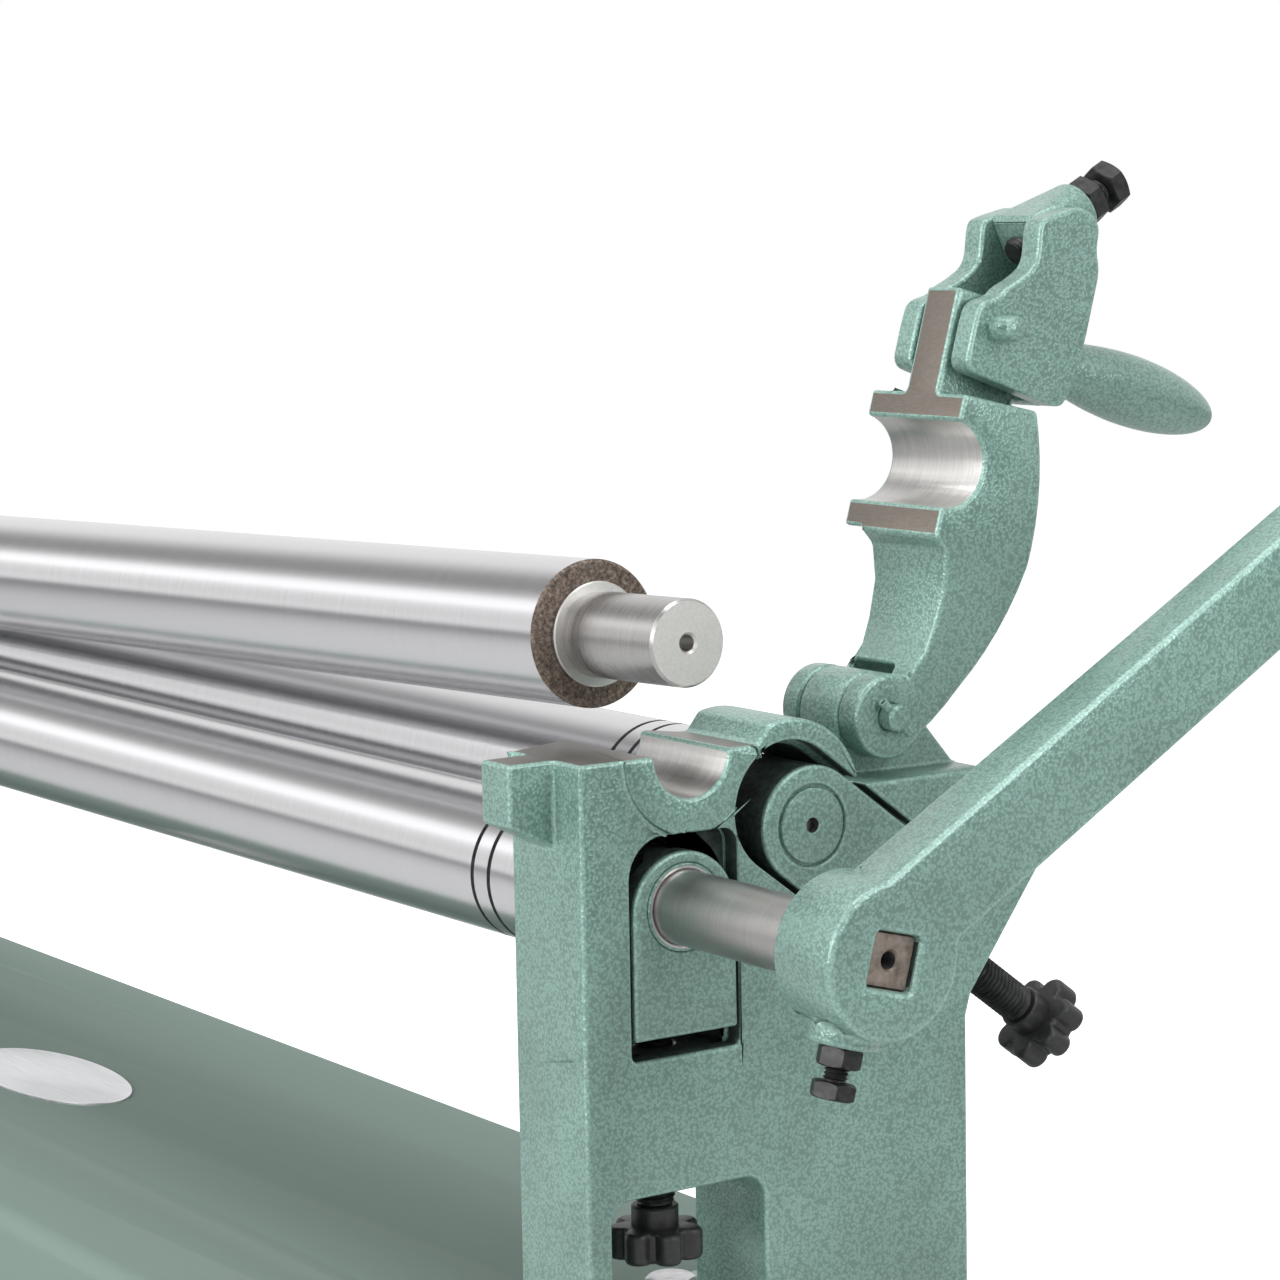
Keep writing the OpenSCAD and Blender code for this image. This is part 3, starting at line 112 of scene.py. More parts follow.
sky.links.new(mirrored.outputs[0], pick.inputs[1])
sky.links.new(surround.outputs[0], pick.inputs[2])
sky.links.new(pick.outputs[0], sky_out.inputs["Surface"])

# The floor is a plain, matt, pale sheet. Where the camera sees it, it is lifted to white so that
# it runs into the surround, and it still takes the machine's soft shadow.
bpy.ops.mesh.primitive_plane_add(size=24, location=(0, 0, -0.0005))
floor = bpy.context.object
floor.name = "studio_floor"
floor_paint = bpy.data.materials.new("studio_floor")
floor_paint.use_nodes = True
floor_tree = floor_paint.node_tree
floor_tree.nodes.clear()
floor_out = floor_tree.nodes.new("ShaderNodeOutputMaterial")
matt = floor_tree.nodes.new("ShaderNodeBsdfDiffuse")
matt.inputs["Color"].default_value = (0.82, 0.82, 0.82, 1)
lift = floor_tree.nodes.new("ShaderNodeEmission")
floor_seen = floor_tree.nodes.new("ShaderNodeLightPath")
lift_strength = floor_tree.nodes.new("ShaderNodeMath")
lift_strength.operation = "MULTIPLY"
lift_strength.inputs[1].default_value = 0.72
floor_tree.links.new(floor_seen.outputs["Is Camera Ray"], lift_strength.inputs[0])
floor_tree.links.new(lift_strength.outputs[0], lift.inputs["Strength"])
floor_sum = floor_tree.nodes.new("ShaderNodeAddShader")
floor_tree.links.new(matt.outputs[0], floor_sum.inputs[0])
floor_tree.links.new(lift.outputs[0], floor_sum.inputs[1])
floor_tree.links.new(floor_sum.outputs[0], floor_out.inputs["Surface"])
floor.data.materials.append(floor_paint)


# Three soft boxes light the machine: a long one overhead, one in front, and a small one beside
# the crank that models the end frame's face.
def soft_box(name, place, target, width, height, power):
    lamp = bpy.data.lights.new(name, "AREA")
    lamp.shape = "RECTANGLE"
    lamp.size, lamp.size_y = width, height
    lamp.energy = power
    lamp_object = bpy.data.objects.new(name, lamp)
    bpy.context.scene.collection.objects.link(lamp_object)
    lamp_object.location = place
    aim = Vector(target) - Vector(place)
    lamp_object.rotation_euler = aim.to_track_quat("-Z", "Y").to_euler()


soft_box("overhead_box", (0.3, -0.2, 2.4), (0.2, 0, 0.3), 3.2, 0.9, 36)
soft_box("front_box", (0.5, -2.6, 1.2), (0.4, 0, 0.3), 1.8, 1.2, 44)
soft_box("crank_side_box", (1.05, 0.12, 0.55), (0.68, 0.04, 0.3), 0.25, 0.25, 1.15)

# The base is a channel folded from steel sheet and closed by a plate screwed in at each end.
# It is sprayed in a smooth, rather dull green that is duller than the castings' paint.
MM = 0.001
SHARP = math.radians(26)
record = frame["record"]
carrier = {node: body for body, nodes in record["behaviour"]["bodies"].items() for node in nodes}


def new_finish(name):
    finish = bpy.data.materials.new(name)
    finish.use_nodes = True
    tree = finish.node_tree
    return finish, tree, tree.nodes["Principled BSDF"]


def noise(tree, scale, detail=3.0, roughness=0.5, stretch=(1, 1, 1)):
    """Cloudy noise over the piece, from 0 to 1; stretch squeezes it along X, Y and Z."""
    where = tree.nodes.new("ShaderNodeTexCoord")
    squeeze = tree.nodes.new("ShaderNodeMapping")
    squeeze.inputs["Scale"].default_value = stretch
    pattern = tree.nodes.new("ShaderNodeTexNoise")
    pattern.inputs["Scale"].default_value = scale
    pattern.inputs["Detail"].default_value = detail
    pattern.inputs["Roughness"].default_value = roughness
    tree.links.new(where.outputs["Object"], squeeze.inputs["Vector"])
    tree.links.new(squeeze.outputs["Vector"], pattern.inputs["Vector"])
    return pattern.outputs["Fac"]


def ramp(tree, value, *stops):
    """Turns a value into a colour by (value, colour) stops; a bare number is a grey."""
    scale = tree.nodes.new("ShaderNodeValToRGB")
    keys = scale.color_ramp.elements
    while len(keys) < len(stops):
        keys.new(0.5)
    for key, (at, colour) in zip(keys, stops):
        key.position = at
        key.color = (*colour, 1) if isinstance(colour, tuple) else (colour, colour, colour, 1)
    tree.links.new(value, scale.inputs["Fac"])
    return scale.outputs["Color"]


def mix(tree, factor, first, second, how="MIX"):
    blend = tree.nodes.new("ShaderNodeMix")
    blend.data_type = "RGBA"
    blend.blend_type = how
    for socket, value in ((blend.inputs[0], factor), (blend.inputs[6], first),
                          (blend.inputs[7], second)):
        if isinstance(value, (int, float)):
            socket.default_value = value
        elif isinstance(value, tuple):
            socket.default_value = (*value, 1)
        else:
            tree.links.new(value, socket)
    return blend.outputs[2]


def relief(tree, shader, height, strength, distance):
    dents = tree.nodes.new("ShaderNodeBump")
    dents.inputs["Strength"].default_value = strength
    dents.inputs["Distance"].default_value = distance
    tree.links.new(height, dents.inputs["Height"])
    tree.links.new(dents.outputs["Normal"], shader.inputs["Normal"])


def clouded(name, clouds, *stops, metal=0.0, rough=0.5, shine=0.5, dents=None):
    """A finish whose colour wanders between stops as clouds do, which are noise's arguments.
    rough is a number, or clouds with the lowest and the highest roughness. dents are clouds
    with a strength and a depth."""
    finish, tree, shader = new_finish(name)
    tree.links.new(ramp(tree, noise(tree, *clouds), *stops), shader.inputs["Base Color"])
    shader.inputs["Metallic"].default_value = metal
    shader.inputs["Specular IOR Level"].default_value = shine
    if isinstance(rough, tuple):
        marks, low, high = rough
        tree.links.new(ramp(tree, noise(tree, *marks), (0.3, low), (0.7, high)),
                       shader.inputs["Roughness"])
    else:
        shader.inputs["Roughness"].default_value = rough
    if dents:
        marks, strength, depth = dents
        relief(tree, shader, noise(tree, *marks), strength, depth)
    return finish


def show(mesh, node):
    """Puts a new mesh in the scene in place of a CAD piece, on the same body."""
    piece = bpy.data.objects.new(node + "_finished", mesh)
    bpy.context.scene.collection.objects.link(piece)
    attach(piece, carrier[node])
    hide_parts(node)
    return piece


def redraw_flat_faces(form):
    """Draws the flat faces square to X anew, without the slivers left between them."""
    flats = {}
    for face in form.faces:
        low, high = (end(point.co.x for point in face.verts) for end in (min, max))
        if high - low < 0.01 * MM:
            flats.setdefault(round(low / (0.05 * MM)), []).append(face)
    for faces in flats.values():
        bmesh.ops.delete(form, geom=faces, context="FACES")
        bmesh.ops.triangle_fill(form, edges=[edge for edge in form.edges if edge.is_boundary],
                                use_beauty=True, normal=(1, 0, 0))
    bmesh.ops.recalc_face_normals(form, faces=form.faces)


def round_edges(piece, radius, steps, edge=None, chosen_by="ANGLE"):
    """Rounds the sharp edges of a piece; edge is the finish that the rounded edges take."""
    rounding = piece.modifiers.new("rounded_edges", "BEVEL")
    rounding.width = radius
    rounding.segments = steps
    rounding.limit_method = chosen_by
    rounding.angle_limit = SHARP
    rounding.use_clamp_overlap = False
    rounding.harden_normals = True
    rounding.miter_outer = "MITER_ARC"
    if edge:
        rounding.material = len(piece.data.materials)
        piece.data.materials.append(edge)


def eased(node, radius, finishes, choose=None, steps=3, change=None, edge=None, parts=(),
          thin=None):
    """Shows the CAD piece with its edges rounded as on the real one.

    choose picks each face's finish by its middle and normal, and edge is the finish of the
    rounded edges. change works on the form before it is rounded. parts are planes (a point and
    a direction) in which faces with holes are divided. thin tells where edges are rounded less.
    """
    form = bmesh.new()
    form.from_mesh(frame["nodes"][node].data)
    bmesh.ops.remove_doubles(form, verts=form.verts, dist=(0.25 if radius > MM else 0.02) * MM)
    redraw_flat_faces(form)
    for point, way in parts:
        bmesh.ops.bisect_plane(form, geom=form.verts[:] + form.edges[:] + form.faces[:],
                               plane_co=point, plane_no=way)
    loose = [line for line in form.edges
             if not any(all(abs((end.co - point).dot(way)) < 0.001 * MM for end in line.verts)
                        for point, way in parts)]
    bmesh.ops.dissolve_limit(form, angle_limit=math.radians(0.5), verts=form.verts, edges=loose)
    if change:
        change(form)
    for face in form.faces:
        face.smooth = True
        if choose:
            face.material_index = choose(face.calc_center_median(), face.normal)
    if thin:
        weight = form.edges.layers.float.new("bevel_weight_edge")
        for line in form.edges:
            if line.calc_face_angle(0) > SHARP:
                line[weight] = 0.4 if any(thin(end.co) for end in line.verts) else 1
    mesh = bpy.data.meshes.new(node + "_finished")
    form.to_mesh(mesh)
    form.free()
    for finish in finishes:
        mesh.materials.append(finish)
    round_edges(show(mesh, node), radius, steps, edge, "WEIGHT" if thin else "ANGLE")


sheet_green = clouded("sheet_green", (9.0, 5.0, 0.6, (0.3, 1, 1)),
                      (0.3, (0.20, 0.272, 0.236)), (0.7, (0.213, 0.287, 0.25)),
                      rough=0.62, shine=0.3, dents=((900.0, 2.0), 0.1, 0.3 * MM))
for node in ("base_channel", "base_end_plate_right", "base_end_plate_left"):
    eased(node, 0.5 * MM, [sheet_green], steps=2)

# The end plates are held by small pan head screws with a cross recess, turned in from above.
# They are zinc plated steel, and the recess is painted dark as shade.
zinc = clouded("zinc_plate", (300.0,), (0.3, (0.50, 0.50, 0.51)), (0.7, (0.64, 0.64, 0.65)),
               metal=1.0, rough=((90.0, 4.0), 0.28, 0.42))
# Dark paint that stands for the shade in recesses, grooves and holes.
recess_shade = clouded("recess_shade", (600.0,), (0.3, 0.03), (0.7, 0.09), rough=0.8)


def turned(form, outline, place, around=96, reach=None):
    """Sweeps (along, radius, finish number) points round the X axis of place. A point's number
    is the finish of the band that starts at it; reach(turn, radius) makes it other than round."""
    rings = []
    for along, radius, _ in outline:
        if radius == 0:
            rings.append([form.verts.new(place @ Vector((along, 0, 0)))])
            continue
        ring = []
        for i in range(around):
            turn = 2 * math.pi * i / around
            far = reach(turn, radius) if reach else radius
            ring.append(form.verts.new(place @ Vector((along, far * math.cos(turn),
                                                       far * math.sin(turn)))))
        rings.append(ring)
    for (ring, following), (_, _, number) in zip(zip(rings, rings[1:]), outline):
        for i in range(around):
            j = (i + 1) % around
            corners = [ring[i % len(ring)], ring[j % len(ring)],
                       following[j % len(following)], following[i % len(following)]]
            corners = list(dict.fromkeys(corners))
            if len(corners) > 2:
                form.faces.new(corners).material_index = number


def dress(node, form, finishes, sharp=32):
    """Shows the form in place of a CAD piece, smooth but for edges sharper than the angle."""
    bmesh.ops.recalc_face_normals(form, faces=form.faces)
    for face in form.faces:
        face.smooth = True
    mesh = bpy.data.meshes.new(node + "_finished")
    form.to_mesh(mesh)
    form.free()
    for finish in finishes:
        mesh.materials.append(finish)
    mesh.set_sharp_from_angle(angle=math.radians(sharp))
    return show(mesh, node)


def solids_of(node):
    """The separate solids of a CAD piece, as lists of their points."""
    form = bmesh.new()
    form.from_mesh(frame["nodes"][node].data)
    bmesh.ops.remove_doubles(form, verts=form.verts, dist=0.01 * MM)
    waiting = set(form.verts)
    groups = []
    while waiting:
        reached = [waiting.pop()]
        group = []
        while reached:
            point = reached.pop()
            group.append(point.co.copy())
            for edge in point.link_edges:
                other = edge.other_vert(point)
                if other in waiting:
                    waiting.remove(other)
                    reached.append(other)
        groups.append(group)
    form.free()
    return groups


def middle_and_ends(points):
    low = Vector([min(point[i] for point in points) for i in range(3)])
    high = Vector([max(point[i] for point in points) for i in range(3)])
    return (low + high) / 2, low, high


UPWARDS = Matrix.Rotation(math.radians(-90), 4, "Y")
pan_radius = 4.5 * MM
pan_height = 2.2 * MM
cross_radius = 1.9 * MM
form = bmesh.new()
for points in solids_of("base_plate_screws"):
    centre, low, high = middle_and_ends(points)
    place = Matrix.Translation((centre.x, centre.y, high.z)) @ UPWARDS
    turned(form, [(low.z - high.z, 0, 0), (low.z - high.z, 2.5 * MM, 0),
                  (-pan_height, 2.5 * MM, 0), (-pan_height, pan_radius, 0),
                  (-pan_height * 0.45, pan_radius, 0), (-pan_height * 0.16, pan_radius * 0.86, 0),
                  (0, pan_radius * 0.6, 0), (0, cross_radius, 1),
                  (-pan_height * 0.7, cross_radius * 0.5, 1), (-pan_height * 0.8, 0, 1)], place, 32)
dress("base_plate_screws", form, [zinc, recess_shade])

# The oval plate on the base's top is pressed from bright aluminium with a raised rim. It is
# bare, and its brushed face runs along the base.
plate_alloy = clouded("plate_alloy", (40.0, 5.0, 0.6, (1, 30, 1)), (0.3, (0.60, 0.61, 0.62)),
                      (0.7, (0.74, 0.75, 0.76)), metal=1.0, rough=0.32)
plate_low, plate_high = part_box("blank_plate")
plate_half = (plate_high - plate_low) / 2
plate_rise = plate_half.z
plate_rim = 2.2 * MM
form = bmesh.new()
rings = []
for along, inwards in ((-plate_rise, 0), (plate_rise * 0.4, 0), (plate_rise, 0.5 * MM),
                       (plate_rise, plate_rim), (plate_rise * 0.1, plate_rim * 1.5)):
    rings.append([form.verts.new(((plate_low.x + plate_high.x) / 2
                                  + (plate_half.x - inwards) * math.cos(math.pi * i / 48),
                                  (plate_low.y + plate_high.y) / 2
                                  + (plate_half.y - inwards) * math.sin(math.pi * i / 48),
                                  (plate_low.z + plate_high.z) / 2 + along))
                  for i in range(96)])
for ring, following in zip(rings, rings[1:]):
    for i in range(96):
        form.faces.new((ring[i], ring[i - 1], following[i - 1], following[i]))
form.faces.new(rings[0])
form.faces.new(rings[-1])
dress("blank_plate", form, [plate_alloy], 25)

# The end frames are grey iron castings under green hammertone paint, which crawls into small
# dark dimples. Saddle and parting plane are machined bare, and the guides are left rough and
# painted near black as shade.
def hammertone(name, pale, mid, deep):
    finish, tree, shader = new_finish(name)
    where = tree.nodes.new("ShaderNodeTexCoord")
    warp = tree.nodes.new("ShaderNodeTexNoise")
    warp.inputs["Scale"].default_value = 700.0
    warp.inputs["Detail"].default_value = 3.0
    tree.links.new(where.outputs["Object"], warp.inputs["Vector"])
    shift = tree.nodes.new("ShaderNodeVectorMath")
    shift.operation = "MULTIPLY_ADD"
    shift.inputs[1].default_value = (1.5 * MM, 1.5 * MM, 1.5 * MM)
    tree.links.new(warp.outputs["Color"], shift.inputs[0])
    tree.links.new(where.outputs["Object"], shift.inputs[2])
    cells = tree.nodes.new("ShaderNodeTexVoronoi")
    cells.feature = "SMOOTH_F1"
    cells.inputs["Scale"].default_value = 900.0
    cells.inputs["Smoothness"].default_value = 0.4
    tree.links.new(shift.outputs[0], cells.inputs["Vector"])
    dimples = ramp(tree, cells.outputs["Distance"], (0.08, 0), (0.62, 1))
    colour = ramp(tree, cells.outputs["Distance"], (0.15, pale), (0.42, mid), (0.68, deep))
    shade = ramp(tree, noise(tree, 26.0, 4.0), (0.3, 0.86), (0.7, 1.1))
    colour = mix(tree, 1.0, colour, shade, "MULTIPLY")
    tree.links.new(colour, shader.inputs["Base Color"])
    shader.inputs["Metallic"].default_value = 0.3
    shader.inputs["Roughness"].default_value = 0.36
    shader.inputs["Coat Weight"].default_value = 0.3
    shader.inputs["Coat Roughness"].default_value = 0.2
    relief(tree, shader, dimples, 0.3, 0.5 * MM)
    return finish


casting_green = hammertone("casting_green", (0.262, 0.428, 0.373), (0.23, 0.378, 0.328),
                           (0.162, 0.272, 0.232))
# A paler copy of the paint for the rounded edges, as a painted highlight along them.
edge_highlight_green = hammertone("edge_highlight_green", (0.32, 0.50, 0.44), (0.275, 0.44, 0.385),
                        (0.20, 0.335, 0.29))


def machined(name, dark, light, smooth, rough, grain, scale=60.0, depth=0.06, metal=1.0):
    """Bare machined metal whose marks are drawn out by grain."""
    marks = (scale, 6.0, 0.7, grain)
    return clouded(name, marks, (0.3, dark), (0.7, light), metal=metal,
                   rough=(marks, smooth, rough), dents=(marks, depth, 0.2 * MM))


saddle_steel = machined("saddle_steel", (0.50, 0.49, 0.47), (0.66, 0.655, 0.64), 0.28, 0.4,
                        (30, 1, 1), depth=0.15)
milled_iron = machined("milled_iron", (0.20, 0.19, 0.175), (0.30, 0.285, 0.265), 0.36, 0.5,
                       (3, 30, 3), depth=0.15)
# Rough iron painted near black: painted shade in the guides, on the blocks' sides and in the crank's square hole.
guide_iron_painted_shade = clouded("guide_iron_painted_shade", (300.0, 5.0, 0.65), (0.35, (0.012, 0.017, 0.015)),
                     (0.7, (0.05, 0.085, 0.07)), rough=0.7,
                     dents=((400.0, 5.0, 0.65), 0.8, 0.8 * MM))

joint = {one["name"]: one for one in frame["joints"]}
right_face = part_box("front_block_right")[1].x
front_y, front_z = joint["front_roll_spin"]["pos_m"][1:]
rear_y, rear_z = joint["rear_roll_spin"]["pos_m"][1:]
seat_y, seat_z = joint["upper_roll_spin"]["pos_m"][1:]
slide_way = Vector(joint["rear_roll_gap"]["axis"])
saddle_radius = 15.05 * MM
slot_half = 23.5 * MM
slot_up, slot_down = 11.9 * MM, 70 * MM
window_half = 22.5 * MM
window_up, window_down = 27 * MM, 50.5 * MM
painted_lip = 1 * MM
hair = 0.6 * MM


def in_guides(centre):
    """Whether a point lies in the front roll's window or in the rear roll's slot."""
    in_window = (abs(centre.y - front_y) < window_half
                 and -window_down < centre.z - front_z < window_up)
    along = Vector((0, centre.y - rear_y, centre.z - rear_z))
    down = along.dot(slide_way)
    across = (along - down * slide_way).length
    return in_window or (down < slot_down
                         and math.hypot(min(0, down + slot_up), across) < slot_half)


def frame_face(centre, normal):
    """0 paint, 1 saddle, 2 parting plane, 3 rough guide in painted shade"""
    from_saddle = math.hypot(centre.y - seat_y, centre.z - seat_z)
    if centre.x > 0 and abs(normal.x) < 0.3 and from_saddle < saddle_radius + hair:
        return 1
    if normal.z > 0.95 and abs(centre.z - seat_z) < hair:
        return 2
    inside = abs(centre.x) < right_face - painted_lip
    return 3 if inside and in_guides(centre) else 0


land_y, land_z = front_y + window_half, front_z + 17.5 * MM
land_width, land_height = 19 * MM, 21 * MM


def thin_land(point):
    """Whether a point lies where the land between window and slot is as thin as a wire."""
    return (abs(point.y - land_y) < land_width / 2
            and abs(point.z - land_z) < land_height / 2)


for node in ("right_end_frame", "left_end_frame"):
    eased(node, 1.3 * MM, [casting_green, saddle_steel, milled_iron, guide_iron_painted_shade], frame_face,
          edge=edge_highlight_green, thin=thin_land,
          parts=((Vector((0, front_y, 0)), Vector((0, 1, 0))),
                 (Vector((0, rear_y, rear_z)), Vector((0, -slide_way.z, slide_way.y)))))

# Hexagon bolts and nuts, zinc plated, hold the frames' feet to the base. Their corners are
# turned off to a cone, which leaves the curved edge of a real head.
def hexed(form, place, across, height, bore=0.0, both=True):
    """A hexagon along X from 0 to height, with a bore for a nut. both tells whether the corners
    are turned off at both faces."""
    flat = across / 2
    slope = math.tan(math.radians(30))
    count = 72

    def corner(turn):
        return flat / math.cos((turn + math.pi / 6) % (math.pi / 3) - math.pi / 6)

    def ring(along, radius):
        """along and radius are functions of the turn"""
        return [form.verts.new(place @ Vector((along(t), radius(t) * math.cos(t),
                                               radius(t) * math.sin(t))))
                for t in (2 * math.pi * i / count for i in range(count))]

    def drop(turn):
        return max(0.0, corner(turn) - flat * 0.94) * slope

    rings = [ring(lambda t: height, lambda t: flat * 0.94),
             ring(lambda t: height - drop(t), corner),
             ring(lambda t: drop(t) if both else 0.0, corner),
             ring(lambda t: 0.0, lambda t: flat * 0.94)]
    if bore:
        cone = bore * 0.12
        rings = ([ring(lambda t: height, lambda t: bore + cone)] + rings
                 + [ring(lambda t: 0.0, lambda t: bore + cone),
                    ring(lambda t: cone, lambda t: bore),
                    ring(lambda t: height - cone, lambda t: bore)])
        rings.append(rings[0])
    for first, second in zip(rings, rings[1:]):
        for i in range(count):
            form.faces.new((first[i], first[i - 1], second[i - 1], second[i]))
    if not bore:
        form.faces.new(rings[0])
        form.faces.new(rings[-1])


bolt_across, bolt_radius, bolt_point = 16 * MM, 5 * MM, 0.75 * MM
head_height, nut_height = 6.4 * MM, 8 * MM
form = bmesh.new()
for points in solids_of("frame_bolts"):
    centre, low, high = middle_and_ends(points)
    place = Matrix.Translation((centre.x, centre.y, high.z)) @ UPWARDS
    hexed(form, place @ Matrix.Translation((-head_height, 0, 0)), bolt_across, head_height,
          both=False)
    end = low.z - high.z
    turned(form, [(end, 0, 0), (end, bolt_radius - bolt_point, 0),
                  (end + bolt_point, bolt_radius, 0), (-head_height / 2, bolt_radius, 0),
                  (-head_height / 2, 0, 0)], place, 32)
dress("frame_bolts", form, [zinc])
form = bmesh.new()
for points in solids_of("frame_nuts"):
    centre, low, high = middle_and_ends(points)
    hexed(form, Matrix.Translation((centre.x, centre.y, low.z)) @ UPWARDS, bolt_across,
          nut_height, bolt_radius)
dress("frame_nuts", form, [zinc])

# The bearing blocks are painted castings that slide in the frames' guides. Paint covers the
# outer two millimetres of their sides, and behind that the sides are painted near black as shade.
painted_depth = 2 * MM


def part_sides(form):
    """Parts the block's sides where the paint ends."""
    for x in (right_face - painted_depth, painted_depth - right_face):
        bmesh.ops.bisect_plane(form, geom=form.verts[:] + form.edges[:] + form.faces[:],
                               plane_co=(x, 0, 0), plane_no=(1, 0, 0))


def block_face(centre, normal):
    """0 paint, 1 side in painted shade"""
    return 1 if abs(centre.x) < right_face - painted_depth and abs(normal.x) < 0.3 else 0


for node in ("front_block_right", "front_block_left", "rear_block_right", "rear_block_left"):
    eased(node, 1.1 * MM, [casting_green, guide_iron_painted_shade], block_face, change=part_sides,
          edge=edge_highlight_green)

# The front bushes are steel tubes, bored right through, with paint on their rims. The rear ones
# are closed caps, painted over, with a groove round the end and an oil hole in the middle, whose
# inside is painted dark as shade.
bush_steel = machined("bush_steel", (0.50, 0.50, 0.49), (0.68, 0.68, 0.67), 0.24, 0.36,
                      (30, 1, 1))
bush_back = right_face - 46 * MM
bush_bore = 12.55 * MM
front_bush_outline = [(bush_back, bush_bore, 1), (bush_back, 14.8 * MM, 0),
                      (right_face - 0.5 * MM, 14.8 * MM, 0), (right_face - 0.1 * MM, 14.6 * MM, 0),
                      (right_face, 14.2 * MM, 0), (right_face, 13.8 * MM, 1),
                      (right_face, 13.1 * MM, 1), (right_face - 0.5 * MM, bush_bore, 1),
                      (bush_back, bush_bore, 1)]
rear_bush_outline = [(bush_back, bush_bore, 0), (bush_back, 14 * MM, 0),
                     (right_face - 1.6 * MM, 14 * MM, 0), (right_face - 1.6 * MM, 13 * MM, 0),
                     (right_face - 0.8 * MM, 13 * MM, 0), (right_face - 0.2 * MM, 12.7 * MM, 0),
                     (right_face, 12.2 * MM, 0), (right_face, 2.9 * MM, 0),
                     (right_face - 0.3 * MM, 2.6 * MM, 1), (right_face - 4 * MM, 2.6 * MM, 1),
                     (right_face - 4 * MM, bush_bore, 0), (bush_back, bush_bore, 0)]
for side, turn in (("right", 0), ("left", math.pi)):
    for node, outline, axis_y, axis_z, inside in (
            ("front_bush_", front_bush_outline, front_y, front_z, bush_steel),
            ("rear_bush_", rear_bush_outline, rear_y, rear_z, recess_shade)):
        form = bmesh.new()
        turned(form, outline, Matrix.Translation((0, axis_y, axis_z))
               @ Matrix.Rotation(turn, 4, "Z"), 96)
        bmesh.ops.remove_doubles(form, verts=form.verts, dist=0.001 * MM)
        dress(node + side, form, [casting_green, inside], 28)

# Each block is set by a long steel screw, blackened, with a coarse thread. Its plain nose turns
# in the block, and its other end is turned down for the knob.
black_oxide = clouded("black_oxide", (350.0,), (0.3, (0.020, 0.020, 0.021)),
                      (0.7, (0.05, 0.05, 0.05)), metal=0.6, rough=((120.0, 4.0), 0.32, 0.48))


def threaded(form, place, radius, start, end, pitch, around=36, per_turn=8):
    """A screw thread along X; a point's radius follows a V that climbs as it goes round."""
    rows = max(2, int((end - start) / pitch * per_turn))
    depth = pitch * 0.55
    previous = None
    for row in range(rows + 1):
        along = start + (end - start) * row / rows
        fade = min(1.0, row / per_turn, (rows - row) / per_turn)
        ring = []
        for i in range(around):
            turn = 2 * math.pi * i / around
            phase = (along / pitch - i / around) % 1.0
            valley = min(1.0, max(0.0, (1 - abs(2 * phase - 1)) * 1.25 - 0.12))
            far = radius - depth * (valley * fade + (1 - fade))
            ring.append(form.verts.new(place @ Vector((along, far * math.cos(turn),
                                                       far * math.sin(turn)))))
        if previous:
            for i in range(around):
                form.faces.new((ring[i], ring[i - 1], previous[i - 1], previous[i]))
        else:
            form.faces.new(ring)
        previous = ring
    form.faces.new(previous)


screw_radius = 7 * MM
screw_pitch = 2 * MM
nose_radius, nose_length = 5 * MM, 8 * MM
stub_length = 17 * MM
aside = right_face - 21 * MM
adjusters = []
block_drop = 43.3 * MM
block_tail = 38.3 * MM
front_thread, rear_thread = 61.4 * MM, 96.2 * MM
for side, word in ((1, "right"), (-1, "left")):
    adjusters.append(("front", word, Vector((side * aside, front_y, front_z - block_drop)),
                      Vector((0, 0, -1)), front_thread))
    adjusters.append(("rear", word, Vector((side * aside, rear_y, rear_z))
                      + block_tail * slide_way, slide_way, rear_thread))


def aimed(start, way):
    """A place at start whose X axis points along way."""
    return Matrix.Translation(start) @ way.to_track_quat("X", "Z").to_matrix().to_4x4()


for row, word, start, way, thread_length in adjusters:
    place = aimed(start, way)
    form = bmesh.new()
    threaded(form, place, screw_radius, 0.5 * MM, thread_length, screw_pitch)
    stem = screw_radius - screw_pitch * 0.55
    stub_end = thread_length + stub_length
    turned(form, [(-nose_length, 0, 0), (-nose_length, nose_radius - 0.6 * MM, 0),
                  (0.6 * MM - nose_length, nose_radius, 0), (0, nose_radius, 0), (0, stem, 0),
                  (1 * MM, stem, 0), (1 * MM, 0, 0)], place, 36)
    turned(form, [(thread_length - 1 * MM, 0, 0), (thread_length - 1 * MM, nose_radius, 0),
                  (stub_end - 0.5 * MM, nose_radius, 0), (stub_end, nose_radius - 0.5 * MM, 0),
                  (stub_end, 0, 0)], place, 36)
    dress(f"{row}_screw_{word}", form, [black_oxide], 50)

# A star knob of black moulded plastic with seven lobes is pressed on each screw's end. Its
# edges are well rounded, and its top is dished round the screw.
knob_plastic = clouded("knob_plastic", (500.0, 4.0), (0.3, 0.016), (0.7, 0.028), rough=0.42,
                       dents=((1500.0, 3.0), 0.15, 0.2 * MM))
knob_radius = 16.5 * MM
lobe_radius = 4.3 * MM
knob_core = knob_radius * 0.76
knob_thickness = 11 * MM
knob_softness = 2.2 * MM
knob_hub_radius, knob_hub_length = 8 * MM, 7 * MM
lobes = 7


def star(turn, radius):
    """The knob's outline at a turn, drawn in or out to the ring's own radius."""
    if radius <= knob_hub_radius:
        return radius
    side = (turn + math.pi / lobes) % (2 * math.pi / lobes) - math.pi / lobes
    centre = knob_radius - lobe_radius
    reach = knob_core
    if abs(centre * math.sin(side)) < lobe_radius:
        reach = max(reach, centre * math.cos(side)
                    + math.sqrt(lobe_radius ** 2 - (centre * math.sin(side)) ** 2))
    return reach + radius - knob_radius


